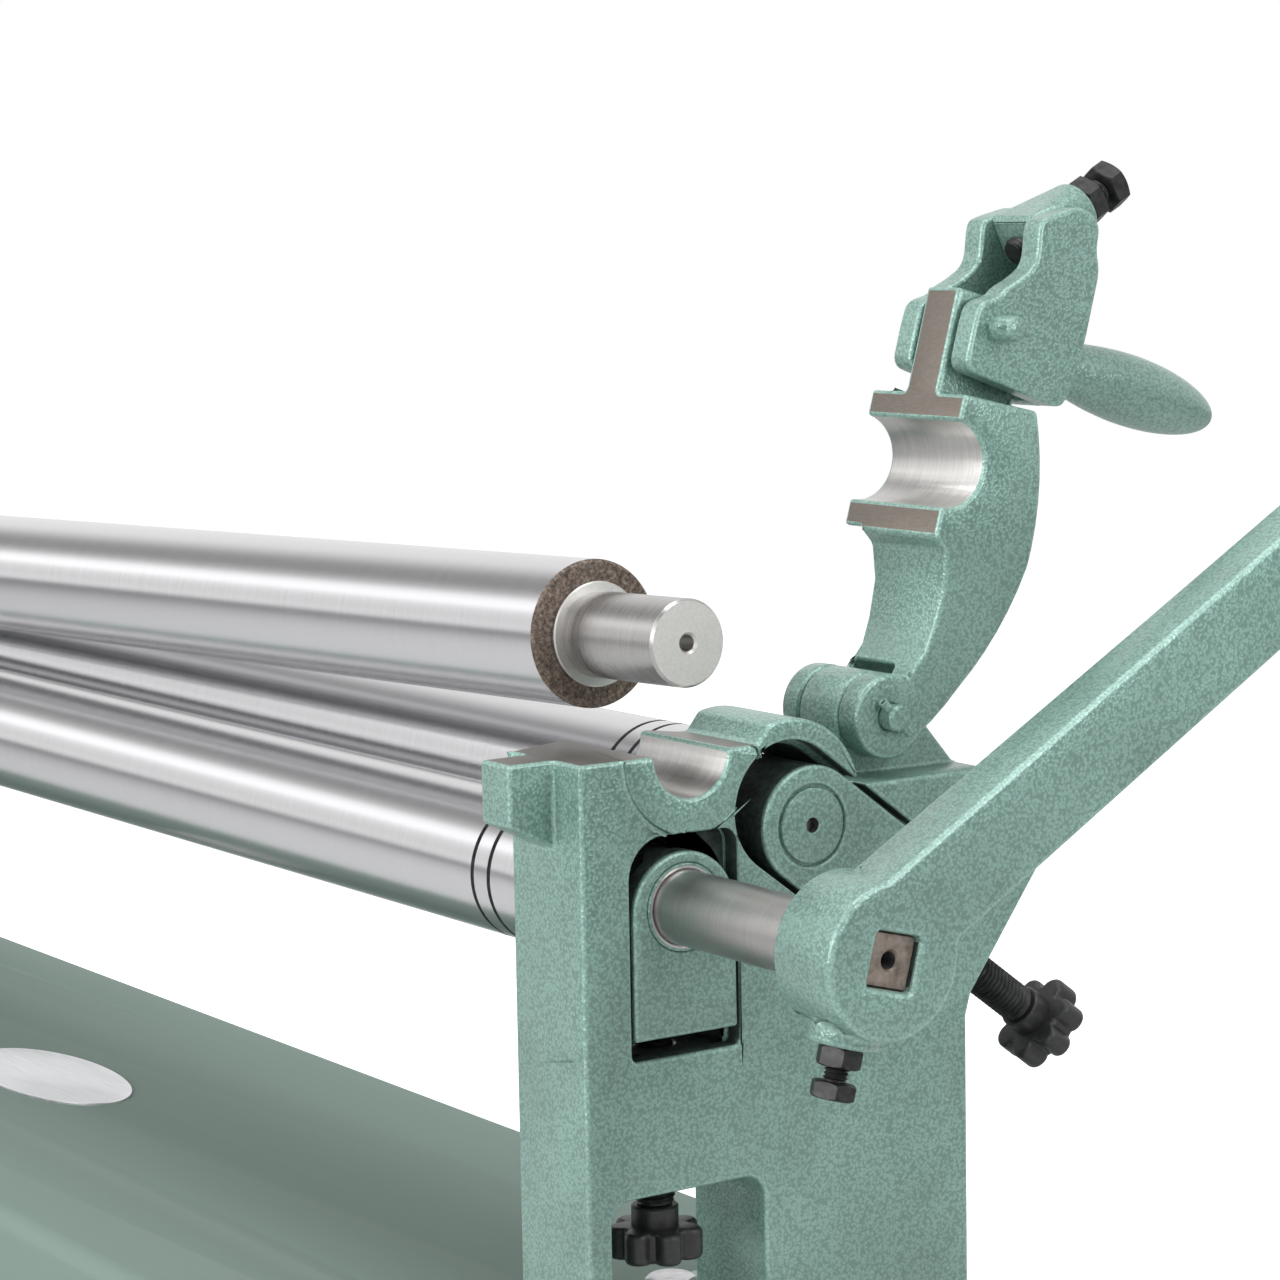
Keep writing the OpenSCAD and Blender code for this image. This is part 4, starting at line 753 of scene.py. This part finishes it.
for row, word, start, way, thread_length in adjusters:
    place = aimed(start, way)
    form = bmesh.new()
    hub = thread_length + 0.02 * MM
    star_low, star_high = hub + knob_hub_length, hub + knob_hub_length + knob_thickness
    bore = nose_radius + 0.05 * MM
    outline = [(hub, bore, 0), (hub, knob_hub_radius - 0.6 * MM, 0),
               (hub + 0.6 * MM, knob_hub_radius, 0), (star_low, knob_hub_radius, 0),
               (star_low, knob_radius - knob_softness, 0)]
    for i in range(1, 7):
        bend = math.radians(15 * i)
        outline.append((star_low + knob_softness * (1 - math.cos(bend)),
                        knob_radius - knob_softness * (1 - math.sin(bend)), 0))
    for i in range(7):
        bend = math.radians(15 * i)
        outline.append((star_high - knob_softness * (1 - math.sin(bend)),
                        knob_radius - knob_softness * (1 - math.cos(bend)), 0))
    outline += [(star_high, knob_hub_radius, 0), (star_high - 0.7 * MM, knob_hub_radius * 0.9, 0),
                (star_high - 0.7 * MM, bore, 0), (hub, bore, 0)]
    turned(form, outline, place, 7 * 24, star)
    bmesh.ops.remove_doubles(form, verts=form.verts, dist=0.001 * MM)
    dress(f"{row}_knob_{word}", form, [knob_plastic], 40)

# The three rolls are solid steel bars, turned down at both ends for their bearings and ground
# all over. The grinding wheel leaves fine marks round them, so light runs along them in bands.
# Two round-bottomed grooves near the right-hand ends let wired edges pass.
roll_steel = machined("roll_steel", (0.58, 0.575, 0.585), (0.66, 0.655, 0.67), 0.16, 0.24,
                      (40, 0.6, 0.6))
shaft_steel = machined("shaft_steel", (0.36, 0.34, 0.335), (0.47, 0.45, 0.44), 0.32, 0.42,
                       (50, 0.6, 0.6), depth=0.12)
end_steel = machined("end_steel", (0.50, 0.49, 0.47), (0.60, 0.59, 0.57), 0.38, 0.5,
                     (0.6, 14, 14))
roll_length = 1016 * MM
roll_radius = 25.4 * MM
shaft_radius = 12.5 * MM
shoulder_radius = 18 * MM
shoulder_end = right_face - 46.3 * MM
chamfer = 1 * MM
groove_width, groove_depth = 2.2 * MM, 1.6 * MM
groove_places = (roll_length / 2 - 37.3 * MM, roll_length / 2 - 26.8 * MM)
hole_radius = 2.8 * MM


def roll_body(middle):
    """Outline of a roll's body between its two ends, with the wire grooves."""
    left, right = middle - roll_length / 2, middle + roll_length / 2
    points = [(left, roll_radius - chamfer, 0), (left + chamfer, roll_radius, 0)]
    # The grooves' insides take the dark recess finish, a painted shade.
    for place in groove_places:
        points += [(middle + place + share * groove_width, roll_radius - deep * groove_depth,
                    2 if share < 0.5 else 0)
                   for share, deep in ((-0.5, 0), (-0.46, 0.6), (-0.3, 0.95), (0, 1),
                                       (0.3, 0.95), (0.46, 0.6), (0.5, 0))]
    return points + [(right - chamfer, roll_radius, 1), (right, roll_radius - chamfer, 1)]


def centre_hole(x):
    """A countersunk centre hole in a right-hand end at x."""
    return [(x, hole_radius * 1.3, 1), (x - hole_radius * 0.3, hole_radius, 1),
            (x - hole_radius * 3, hole_radius * 0.9, 1), (x - hole_radius * 3.1, 0, 1)]


crank_face = right_face + 81.8 * MM
front_low, front_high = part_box("front_roll")
front_axis = Matrix.Translation((0, front_y, front_z))
form = bmesh.new()
turned(form, [(front_low.x, 0, 1), (front_low.x, shaft_radius - chamfer, 1),
              (front_low.x + chamfer, shaft_radius, 0), (-shoulder_end, shaft_radius, 1),
              (-shoulder_end, shoulder_radius, 0), (-roll_length / 2, shoulder_radius, 1)]
       + roll_body(0)
       + [(roll_length / 2, shoulder_radius, 0), (shoulder_end - chamfer / 2, shoulder_radius, 1),
          (shoulder_end, shoulder_radius - chamfer / 2, 1), (shoulder_end, shaft_radius, 3),
          (crank_face + 1 * MM, shaft_radius, 1), (crank_face + 1 * MM, 0, 1)], front_axis, 144)

# The front roll's end is milled square for the crank. It keeps its brown skin, and shows the
# lathe's centre hole.
skin = (260.0, 5.0, 0.6)
square_iron = clouded("square_iron", skin, (0.3, (0.15, 0.12, 0.10)), (0.7, (0.34, 0.29, 0.25)),
                      metal=0.7, rough=0.45, dents=(skin, 0.3, 0.3 * MM))
square_half = 8.7 * MM
square_corner = 12 * MM
square_turn = math.radians(15)


def squared(turn, radius):
    if radius < square_half * 0.7:
        return radius
    side = (turn + math.pi / 4) % (math.pi / 2) - math.pi / 4
    return min(radius / math.cos(side), square_corner * radius / square_half)


square_end = front_high.x
square_axis = front_axis @ Matrix.Rotation(-square_turn, 4, "X")
# The centre hole in the square end takes the dark recess finish, a painted shade.
turned(form, [(crank_face - 1 * MM, 0, 4), (crank_face - 1 * MM, square_half, 4),
              (square_end - 0.6 * MM, square_half, 4), (square_end, square_half - 0.6 * MM, 4),
              (square_end, hole_radius * 1.25, 4), (square_end - 0.8 * MM, hole_radius, 2),
              (square_end - 8 * MM, hole_radius * 0.9, 2), (square_end - 8.5 * MM, 0, 2)],
       square_axis, 96, squared)
dress("front_roll", form, [roll_steel, end_steel, recess_shade, shaft_steel, square_iron])

# The rear roll is like the front one, but its right-hand shaft ends inside the closed bush.
# It has the same wire grooves near its end.
rear_low, rear_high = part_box("rear_roll")
form = bmesh.new()
turned(form, [(rear_low.x, 0, 1), (rear_low.x, shaft_radius, 0), (-shoulder_end, shaft_radius, 1),
              (-shoulder_end, shoulder_radius, 0), (-roll_length / 2, shoulder_radius, 1)]
       + roll_body(0)
       + [(roll_length / 2, shoulder_radius, 0), (shoulder_end, shoulder_radius, 1),
          (shoulder_end, shaft_radius, 0), (rear_high.x, shaft_radius, 1), (rear_high.x, 0, 1)],
       Matrix.Translation((0, rear_y, rear_z)), 144)
dress("rear_roll", form, [roll_steel, end_steel, recess_shade])

# The upper roll is lifted at the crank end and leans on the swivel in the left frame. Its
# journal is bright, with a centre hole, and the sawn end of the body is brown with scale.
journal_steel = machined("journal_steel", (0.38, 0.37, 0.365), (0.48, 0.47, 0.465), 0.24, 0.34,
                         (50, 0.6, 0.6), depth=0.1)
crust = (700.0, 6.0, 0.7)
saw_scale = clouded("saw_scale", crust, (0.32, (0.035, 0.027, 0.022)), (0.5, (0.16, 0.12, 0.095)),
                    (0.68, (0.36, 0.30, 0.25)), metal=0.35, rough=0.75,
                    dents=(crust, 0.8, 0.6 * MM))
swivel_place = Vector(joint["upper_roll_lift"]["pos_m"])
lean = math.radians(joint["upper_roll_lift"]["range_deg"][1])
lifted = Matrix.Translation(swivel_place) @ Matrix.Rotation(-lean, 4, "Y")
level = -swivel_place.x
journal_radius = 14.7 * MM
journal_end = level + right_face
step_radius, step_length = 18 * MM, 2.1 * MM
neck_radius = 16 * MM
swivel_half = 17 * MM
body_left, body_right = level - roll_length / 2, level + roll_length / 2
shaft_end = level + front_low.x
form = bmesh.new()
turned(form, [(shaft_end, 0, 1), (shaft_end, shaft_radius - chamfer, 1),
              (shaft_end + chamfer, shaft_radius, 0), (-swivel_half, shaft_radius, 1),
              (-swivel_half, journal_radius, 0), (swivel_half, journal_radius, 1),
              (swivel_half + 0.2 * MM, neck_radius, 0), (body_left, neck_radius, 1)]
       + roll_body(level)[:2] + [(body_right - 1.2 * MM, roll_radius, 2),
                                 (body_right - 0.2 * MM, roll_radius - 0.9 * MM, 2),
                                 (body_right, roll_radius - 2.5 * MM, 2)]
       + [(body_right, step_radius, 0), (body_right + step_length * 0.8, step_radius, 1),
          (body_right + step_length, step_radius - 0.5 * MM, 1),
          (body_right + step_length, journal_radius, 3),
          (journal_end - chamfer, journal_radius, 3),
          (journal_end, journal_radius - chamfer * 0.8, 1)] + centre_hole(journal_end),
       lifted, 144)
dress("upper_roll", form, [roll_steel, end_steel, saw_scale, journal_steel])

# The left-hand end of the upper roll turns in a bronze ball that sits in the left frame's head.
# The roll tilts on it when its other end is lifted.
bronze = clouded("bronze", (200.0,), (0.3, (0.5, 0.34, 0.16)), (0.7, (0.6, 0.43, 0.22)),
                 metal=1.0, rough=((60.0, 4.0), 0.3, 0.42))
eased("upper_swivel", 0.5 * MM, [bronze])

# A painted cast ring keeps the ball in the head. Three zinc plated cap screws with round
# sockets go through it into the frame.
eased("swivel_keeper", 0.9 * MM, [casting_green], edge=edge_highlight_green)
cap_radius = 4.2 * MM
cap_height = 3 * MM
socket_radius = 2 * MM
OUTWARDS_LEFT = Matrix.Rotation(math.pi, 4, "Z")
# The sockets take the dark recess finish, a painted shade.
form = bmesh.new()
for points in solids_of("swivel_keeper_screws"):
    centre, low, high = middle_and_ends(points)
    outer = Matrix.Translation((low.x, centre.y, centre.z)) @ OUTWARDS_LEFT
    turned(form, [(low.x - high.x, 0, 0), (low.x - high.x, 2.5 * MM, 0),
                  (-cap_height, 2.5 * MM, 0), (-cap_height, cap_radius, 0),
                  (-0.5 * MM, cap_radius, 0), (0, cap_radius - 0.5 * MM, 0),
                  (0, socket_radius, 1), (-cap_height * 0.7, socket_radius, 1),
                  (-cap_height * 0.7, 0, 1)], outer, 36)
dress("swivel_keeper_screws", form, [zinc, recess_shade])

# Two equal steel gears on the left-hand shafts drive the upper roll from the front one. Each
# is keyed on, and a zinc plated collar keeps it.
gear_steel = machined("gear_steel", (0.30, 0.30, 0.30), (0.48, 0.47, 0.46), 0.34, 0.5,
                      (2, 2, 2), 200.0, 0.1)
for node in ("front_gear", "upper_gear"):
    eased(node, 0.4 * MM, [gear_steel], steps=2)
for node in ("front_gear_key", "upper_gear_key"):
    eased(node, 0.3 * MM, [zinc], steps=1)
for node in ("front_gear_collar", "upper_gear_collar"):
    eased(node, 0.7 * MM, [zinc])

# A painted cast guard covers the gears. It stands on three zinc plated studs, which are screwed
# into the frame, and hexagon nuts hold it.
eased("gear_guard", 0.8 * MM, [casting_green], edge=edge_highlight_green)
stud_radius = 4 * MM
guard_across, guard_nut_height = 13 * MM, 6.5 * MM
guard_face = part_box("gear_guard")[0].x
form = bmesh.new()
nuts = bmesh.new()
for points in solids_of("gear_guard_studs"):
    centre, low, high = middle_and_ends(points)
    outer = Matrix.Translation((low.x, centre.y, centre.z)) @ OUTWARDS_LEFT
    length = high.x - low.x
    collar_start = low.x - (guard_face + 2.02 * MM)
    turned(form, [(-length, 0, 0), (-length, stud_radius, 0),
                  (collar_start - guard_nut_height, stud_radius, 0),
                  (collar_start - guard_nut_height, guard_across / 2 - 0.5 * MM, 0),
                  (collar_start - guard_nut_height + 0.5 * MM, guard_across / 2, 0),
                  (collar_start, guard_across / 2, 0), (collar_start, stud_radius, 0),
                  (-0.6 * MM, stud_radius, 0), (0, stud_radius - 0.6 * MM, 0), (0, 0, 0)],
           outer, 36)
    nut_place = Matrix.Translation((guard_face - 0.02 * MM, centre.y, centre.z)) @ OUTWARDS_LEFT
    hexed(nuts, nut_place, guard_across, guard_nut_height, stud_radius + 0.02 * MM)
dress("gear_guard_studs", form, [zinc])
dress("gear_guard_nuts", nuts, [zinc])

# The crank is one painted casting: a round hub with a square hole, a boss for the set screw,
# and a straight arm. Its edges are well rounded, as the pattern left them.
def crank_surface(centre, normal):
    """0 paint, 1 rough square hole in painted shade"""
    hole = math.hypot(centre.y - front_y, centre.z - front_z) < 10 * MM
    return 1 if hole and abs(normal.x) < 0.3 else 0


# The square hole's sides are painted near black as shade.
eased("crank_casting", 1.8 * MM, [casting_green, guide_iron_painted_shade], crank_surface, 4,
      edge=edge_highlight_green)

# A black set screw comes up through the hub's boss onto the roll's square end. It is a
# blackened steel bolt, and a nut locks it against the boss.
down_set = Vector((0, -math.sin(square_turn), -math.cos(square_turn)))
set_x = crank_face + 11.7 * MM
set_radius = 4 * MM
set_boss_top = 29.2 * MM
set_across, set_nut_height = 13 * MM, 6.5 * MM
set_head_at = set_boss_top + set_nut_height + 4.5 * MM
set_head_height = 5.5 * MM
set_place = aimed(Vector((set_x, front_y, front_z)), down_set)
form = bmesh.new()
threaded(form, set_place, set_radius, square_half + 0.05 * MM, set_head_at + 0.5 * MM, 1.25 * MM)
hexed(form, set_place @ Matrix.Translation((set_head_at, 0, 0)), set_across, set_head_height)
dress("crank_set_screw", form, [black_oxide], 45)
form = bmesh.new()
hexed(form, set_place @ Matrix.Translation((set_boss_top + 0.02 * MM, 0, 0)), set_across,
      set_nut_height, set_radius + 0.02 * MM)
dress("crank_lock_nut", form, [black_oxide])

# The crank's grip is a turned handle, swollen in the middle and painted with the machine. It
# spins on a spindle.
grip_axis = Vector(joint["crank_grip_spin"]["pos_m"])
grip_low, grip_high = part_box("crank_grip")
spindle_low, spindle_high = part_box("crank_spindle")
grip_radius = (grip_high.y - grip_low.y) / 2
grip_bore = 6.05 * MM
spindle_radius, head_radius, head_length = 6 * MM, 9 * MM, 4 * MM
along_grip = Matrix.Translation((0, grip_axis.y, grip_axis.z))
grip_length = grip_high.x - grip_low.x
grip_swell = ((0, 0.70), (0.02, 0.76), (0.06, 0.80), (0.14, 0.84), (0.25, 0.92), (0.4, 0.985),
              (0.55, 1), (0.7, 0.975), (0.82, 0.9), (0.91, 0.8), (0.97, 0.68), (1, 0.58))
form = bmesh.new()
turned(form, [(grip_low.x, grip_bore, 0)]
       + [(grip_low.x + share * grip_length, swell * grip_radius, 0)
          for share, swell in grip_swell]
       + [(grip_high.x, grip_bore, 0), (grip_low.x, grip_bore, 0)], along_grip, 64)
bmesh.ops.remove_doubles(form, verts=form.verts, dist=0.001 * MM)
dress("crank_grip", form, [casting_green], 40)

# The spindle is zinc plated steel, with a round head outside that keeps the grip on. It goes
# through the arm, and a nut holds it from behind.
form = bmesh.new()
turned(form, [(spindle_low.x, 0, 0), (spindle_low.x, spindle_radius - 0.8 * MM, 0),
              (spindle_low.x + 0.8 * MM, spindle_radius, 0),
              (spindle_high.x - head_length, spindle_radius, 0),
              (spindle_high.x - head_length, head_radius, 0),
              (spindle_high.x - head_length * 0.4, head_radius, 0),
              (spindle_high.x - head_length * 0.1, head_radius * 0.8, 0),
              (spindle_high.x, head_radius * 0.5, 0), (spindle_high.x, 0, 0)], along_grip, 48)
dress("crank_spindle", form, [zinc])
nut_low, nut_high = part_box("crank_spindle_nut")
form = bmesh.new()
hexed(form, Matrix.Translation((nut_low.x, grip_axis.y, grip_axis.z)), 19 * MM,
      nut_high.x - nut_low.x, spindle_radius + 0.02 * MM)
dress("crank_spindle_nut", form, [zinc])

# The yoke is a painted casting that hinges at the back and closes over the journal. Its half
# saddle is bored bright, and its parting face is milled to bare brown-grey iron.
parting_iron = machined("parting_iron", (0.15, 0.13, 0.11), (0.215, 0.19, 0.165), 0.42, 0.55,
                        (6, 30, 30), 60.0, 0.2, 0.8)
hinge = Vector(joint["yoke_hinge"]["pos_m"])
opened = math.radians(-joint["yoke_hinge"]["range_deg"][1])
shut_way = Matrix.Rotation(-opened, 4, "X")
yoke_gap = 0.3 * MM


def yoke_face(centre, normal):
    """0 paint, 1 saddle, 2 parting face, found with the yoke swung shut"""
    shut = hinge + shut_way.to_3x3() @ (centre - hinge)
    faces = shut_way.to_3x3() @ normal
    if (abs(normal.x) < 0.3
            and math.hypot(shut.y - seat_y, shut.z - seat_z) < saddle_radius + hair):
        return 1
    return 2 if faces.z < -0.9 and abs(shut.z - seat_z - yoke_gap) < hair else 0


eased("yoke", 1.4 * MM, [casting_green, saddle_steel, parting_iron], yoke_face,
      edge=edge_highlight_green)

# The yoke swings on a plain steel pin through the frame's lug, painted with the machine. A
# spring pin across its outer end keeps it in.
pin_low, pin_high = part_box("hinge_pin")
pin_radius = (pin_high.y - pin_low.y) / 2
form = bmesh.new()
turned(form, [(pin_low.x, 0, 0), (pin_low.x, pin_radius - 0.8 * MM, 0),
              (pin_low.x + 0.8 * MM, pin_radius, 0), (pin_high.x - 1 * MM, pin_radius, 0),
              (pin_high.x, pin_radius - 1 * MM, 0), (pin_high.x, 0, 0)],
       Matrix.Translation((0, hinge.y, hinge.z)), 48)
dress("hinge_pin", form, [casting_green])
eased("hinge_roll_pin", 0.3 * MM, [casting_green], steps=2)

# The latch is a painted casting: two cheeks that straddle the yoke's stem, a wall between
# them, and a solid nose with a boss for the bolt. Its hooked end grips the frame's lug.
def latch_way(lean_degrees):
    """A direction that leans back from up on the shut latch, as it stands when swung open."""
    turn = opened + math.radians(-lean_degrees)
    return Vector((0, -math.sin(turn), math.cos(turn)))


latch_pivot = Vector(joint["latch_pivot"]["pos_m"])
latch_middle = right_face - 24.25 * MM
on_latch = (Matrix.Translation((latch_middle, latch_pivot.y, latch_pivot.z))
            @ Matrix.Rotation(opened, 4, "X"))
latch_scale = 40 * MM
cheek_inside, cheek_outside = 10.75 * MM, 20.75 * MM
cheek_outline = ((0.425, -0.26), (0.51, 0.87), (0.41, 0.94), (-0.1, 1.01), (-0.765, 1.01),
                 (-0.93, 0.92), (-1.165, 0.91), (-1.27, 0.67), (-1.06, 0.29), (-0.99, 0.23),
                 (-0.64, 0.29), (-0.475, 0.15), (-0.355, 0), (-0.275, -0.04), (-0.17, -0.24),
                 (-0.005, -0.26))
wall_outline = ((0.49, 0.72), (0.51, 0.87), (0.41, 0.94), (-0.1, 1.01), (-0.765, 1.01),
                (-0.765, 0.86), (-0.08, 0.86), (0.41, 0.72))
nose_outline = ((-0.72, 0.59), (-0.765, 1.01), (-0.93, 0.92), (-1.165, 0.91), (-1.27, 0.67),
                (-1.06, 0.29))


def softened(outline, reach):
    """The outline with each corner turned into a curve that starts and ends at the reach."""
    points = []
    corners = [Vector(corner) * latch_scale for corner in outline]
    for before, corner, after in zip(corners[-1:] + corners, corners, corners[1:] + corners[:1]):
        first, last = before - corner, after - corner
        first = corner + first.normalized() * min(reach, 0.48 * first.length)
        last = corner + last.normalized() * min(reach, 0.48 * last.length)
        for i in range(6):
            share = i / 5
            points.append((1 - share) ** 2 * first + 2 * share * (1 - share) * corner
                          + share ** 2 * last)
    return points


def slab(form, outline, low, high):
    """A plate from low to high along X, standing on the latch."""
    near, far = ([form.verts.new(on_latch @ Vector((x, *point))) for point in outline]
                 for x in (low, high))
    form.faces.new(near)
    form.faces.new(far)
    for i in range(len(outline)):
        form.faces.new((near[i], near[i - 1], far[i - 1], far[i]))


boss_radius, boss_top = 10 * MM, 31 * MM
bolt_aside, bolt_out = 32.4 * MM, 18.75 * MM
bolt_place = aimed(on_latch @ Vector((0, -bolt_aside, bolt_out)), latch_way(-43.5))
form = bmesh.new()
cheek = softened(cheek_outline, 5 * MM)
slab(form, cheek, -cheek_outside, -cheek_inside)
slab(form, cheek, cheek_inside, cheek_outside)
slab(form, softened(wall_outline, 3 * MM), -cheek_inside - 1 * MM, cheek_inside + 1 * MM)
hull = [on_latch @ Vector((x, *point)) for point in softened(nose_outline, 3 * MM)
        for x in (-cheek_inside, cheek_inside)]
for along in (boss_top - 5 * MM, boss_top):
    hull += [bolt_place @ Vector((along, boss_radius * math.cos(math.pi * i / 32),
                                  boss_radius * math.sin(math.pi * i / 32))) for i in range(64)]
bmesh.ops.convex_hull(form, input=[form.verts.new(point) for point in hull])
bmesh.ops.delete(form, geom=[point for point in form.verts if not point.link_faces],
                 context="VERTS")
bmesh.ops.dissolve_limit(form, angle_limit=math.radians(0.5), verts=form.verts, edges=form.edges)
round_edges(dress("latch_casting", form, [casting_green], 180), 1.5 * MM, 4, edge_highlight_green)

# The latch swings on a steel pin through the cheeks and the stem, riveted over at its outer
# end and painted. A spring pin ties it to the stem.
pin_low, pin_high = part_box("latch_pin")
pin_radius = (pin_high.y - pin_low.y) / 2
form = bmesh.new()
turned(form, [(pin_low.x, 0, 0), (pin_low.x, pin_radius - 0.8 * MM, 0),
              (pin_low.x + 0.8 * MM, pin_radius, 0), (pin_high.x - 2.2 * MM, pin_radius, 0),
              (pin_high.x - 1.2 * MM, pin_radius * 0.93, 0),
              (pin_high.x - 0.4 * MM, pin_radius * 0.74, 0), (pin_high.x, pin_radius * 0.4, 0),
              (pin_high.x, 0, 0)], Matrix.Translation((0, latch_pivot.y, latch_pivot.z)), 48)
dress("latch_pin", form, [casting_green], 40)
eased("latch_roll_pin", 0.4 * MM, [casting_green], steps=2)

# The latch's handle is turned to a long egg shape and painted green. Its tang is screwed into
# the casting.
handle_length, handle_radius = 83 * MM, 12.8 * MM
handle_out, handle_aside = 40.5 * MM, 2.4 * MM
handle_place = aimed(on_latch @ Vector((0, handle_aside, handle_out)), latch_way(1.5))


def egg_width(share):
    """The handle's half width, as a share: swelling to the middle, then a half ellipse."""
    if share < 0.5:
        return 0.58 + 0.42 * math.sin(math.pi * share)
    return math.sqrt(max(0, 1 - (2 * share - 1) ** 2))


egg_rings = 56
tang_radius, tang_length = 4.9 * MM, 6 * MM
outline = [(-tang_length, 0, 0), (-tang_length, tang_radius, 0), (0, tang_radius, 0)]
for i in range(egg_rings + 1):
    share = math.sin(math.pi / 2 * i / egg_rings)
    outline.append((share * handle_length, egg_width(share) * handle_radius, 0))
outline[-1] = (handle_length, 0, 0)
form = bmesh.new()
turned(form, outline, handle_place, 64)
dress("latch_handle", form, [casting_green], 50)

# A black bolt through the nose sets how hard the latch grips. It is a blackened hexagon bolt,
# and a nut locks it against the boss.
latch_bolt_radius = 5 * MM
latch_across = 16 * MM
latch_nut_height, latch_head_height = 7.5 * MM, 7 * MM
latch_head_at = boss_top + latch_nut_height + 4.5 * MM
form = bmesh.new()
threaded(form, bolt_place, latch_bolt_radius, -2.65 * MM, latch_head_at + 0.5 * MM, 1.5 * MM)
hexed(form, bolt_place @ Matrix.Translation((latch_head_at, 0, 0)), latch_across,
      latch_head_height)
dress("latch_bolt", form, [black_oxide], 45)
form = bmesh.new()
hexed(form, bolt_place @ Matrix.Translation((boss_top + 0.02 * MM, 0, 0)), latch_across,
      latch_nut_height, latch_bolt_radius + 0.02 * MM)
dress("latch_lock_nut", form, [black_oxide])
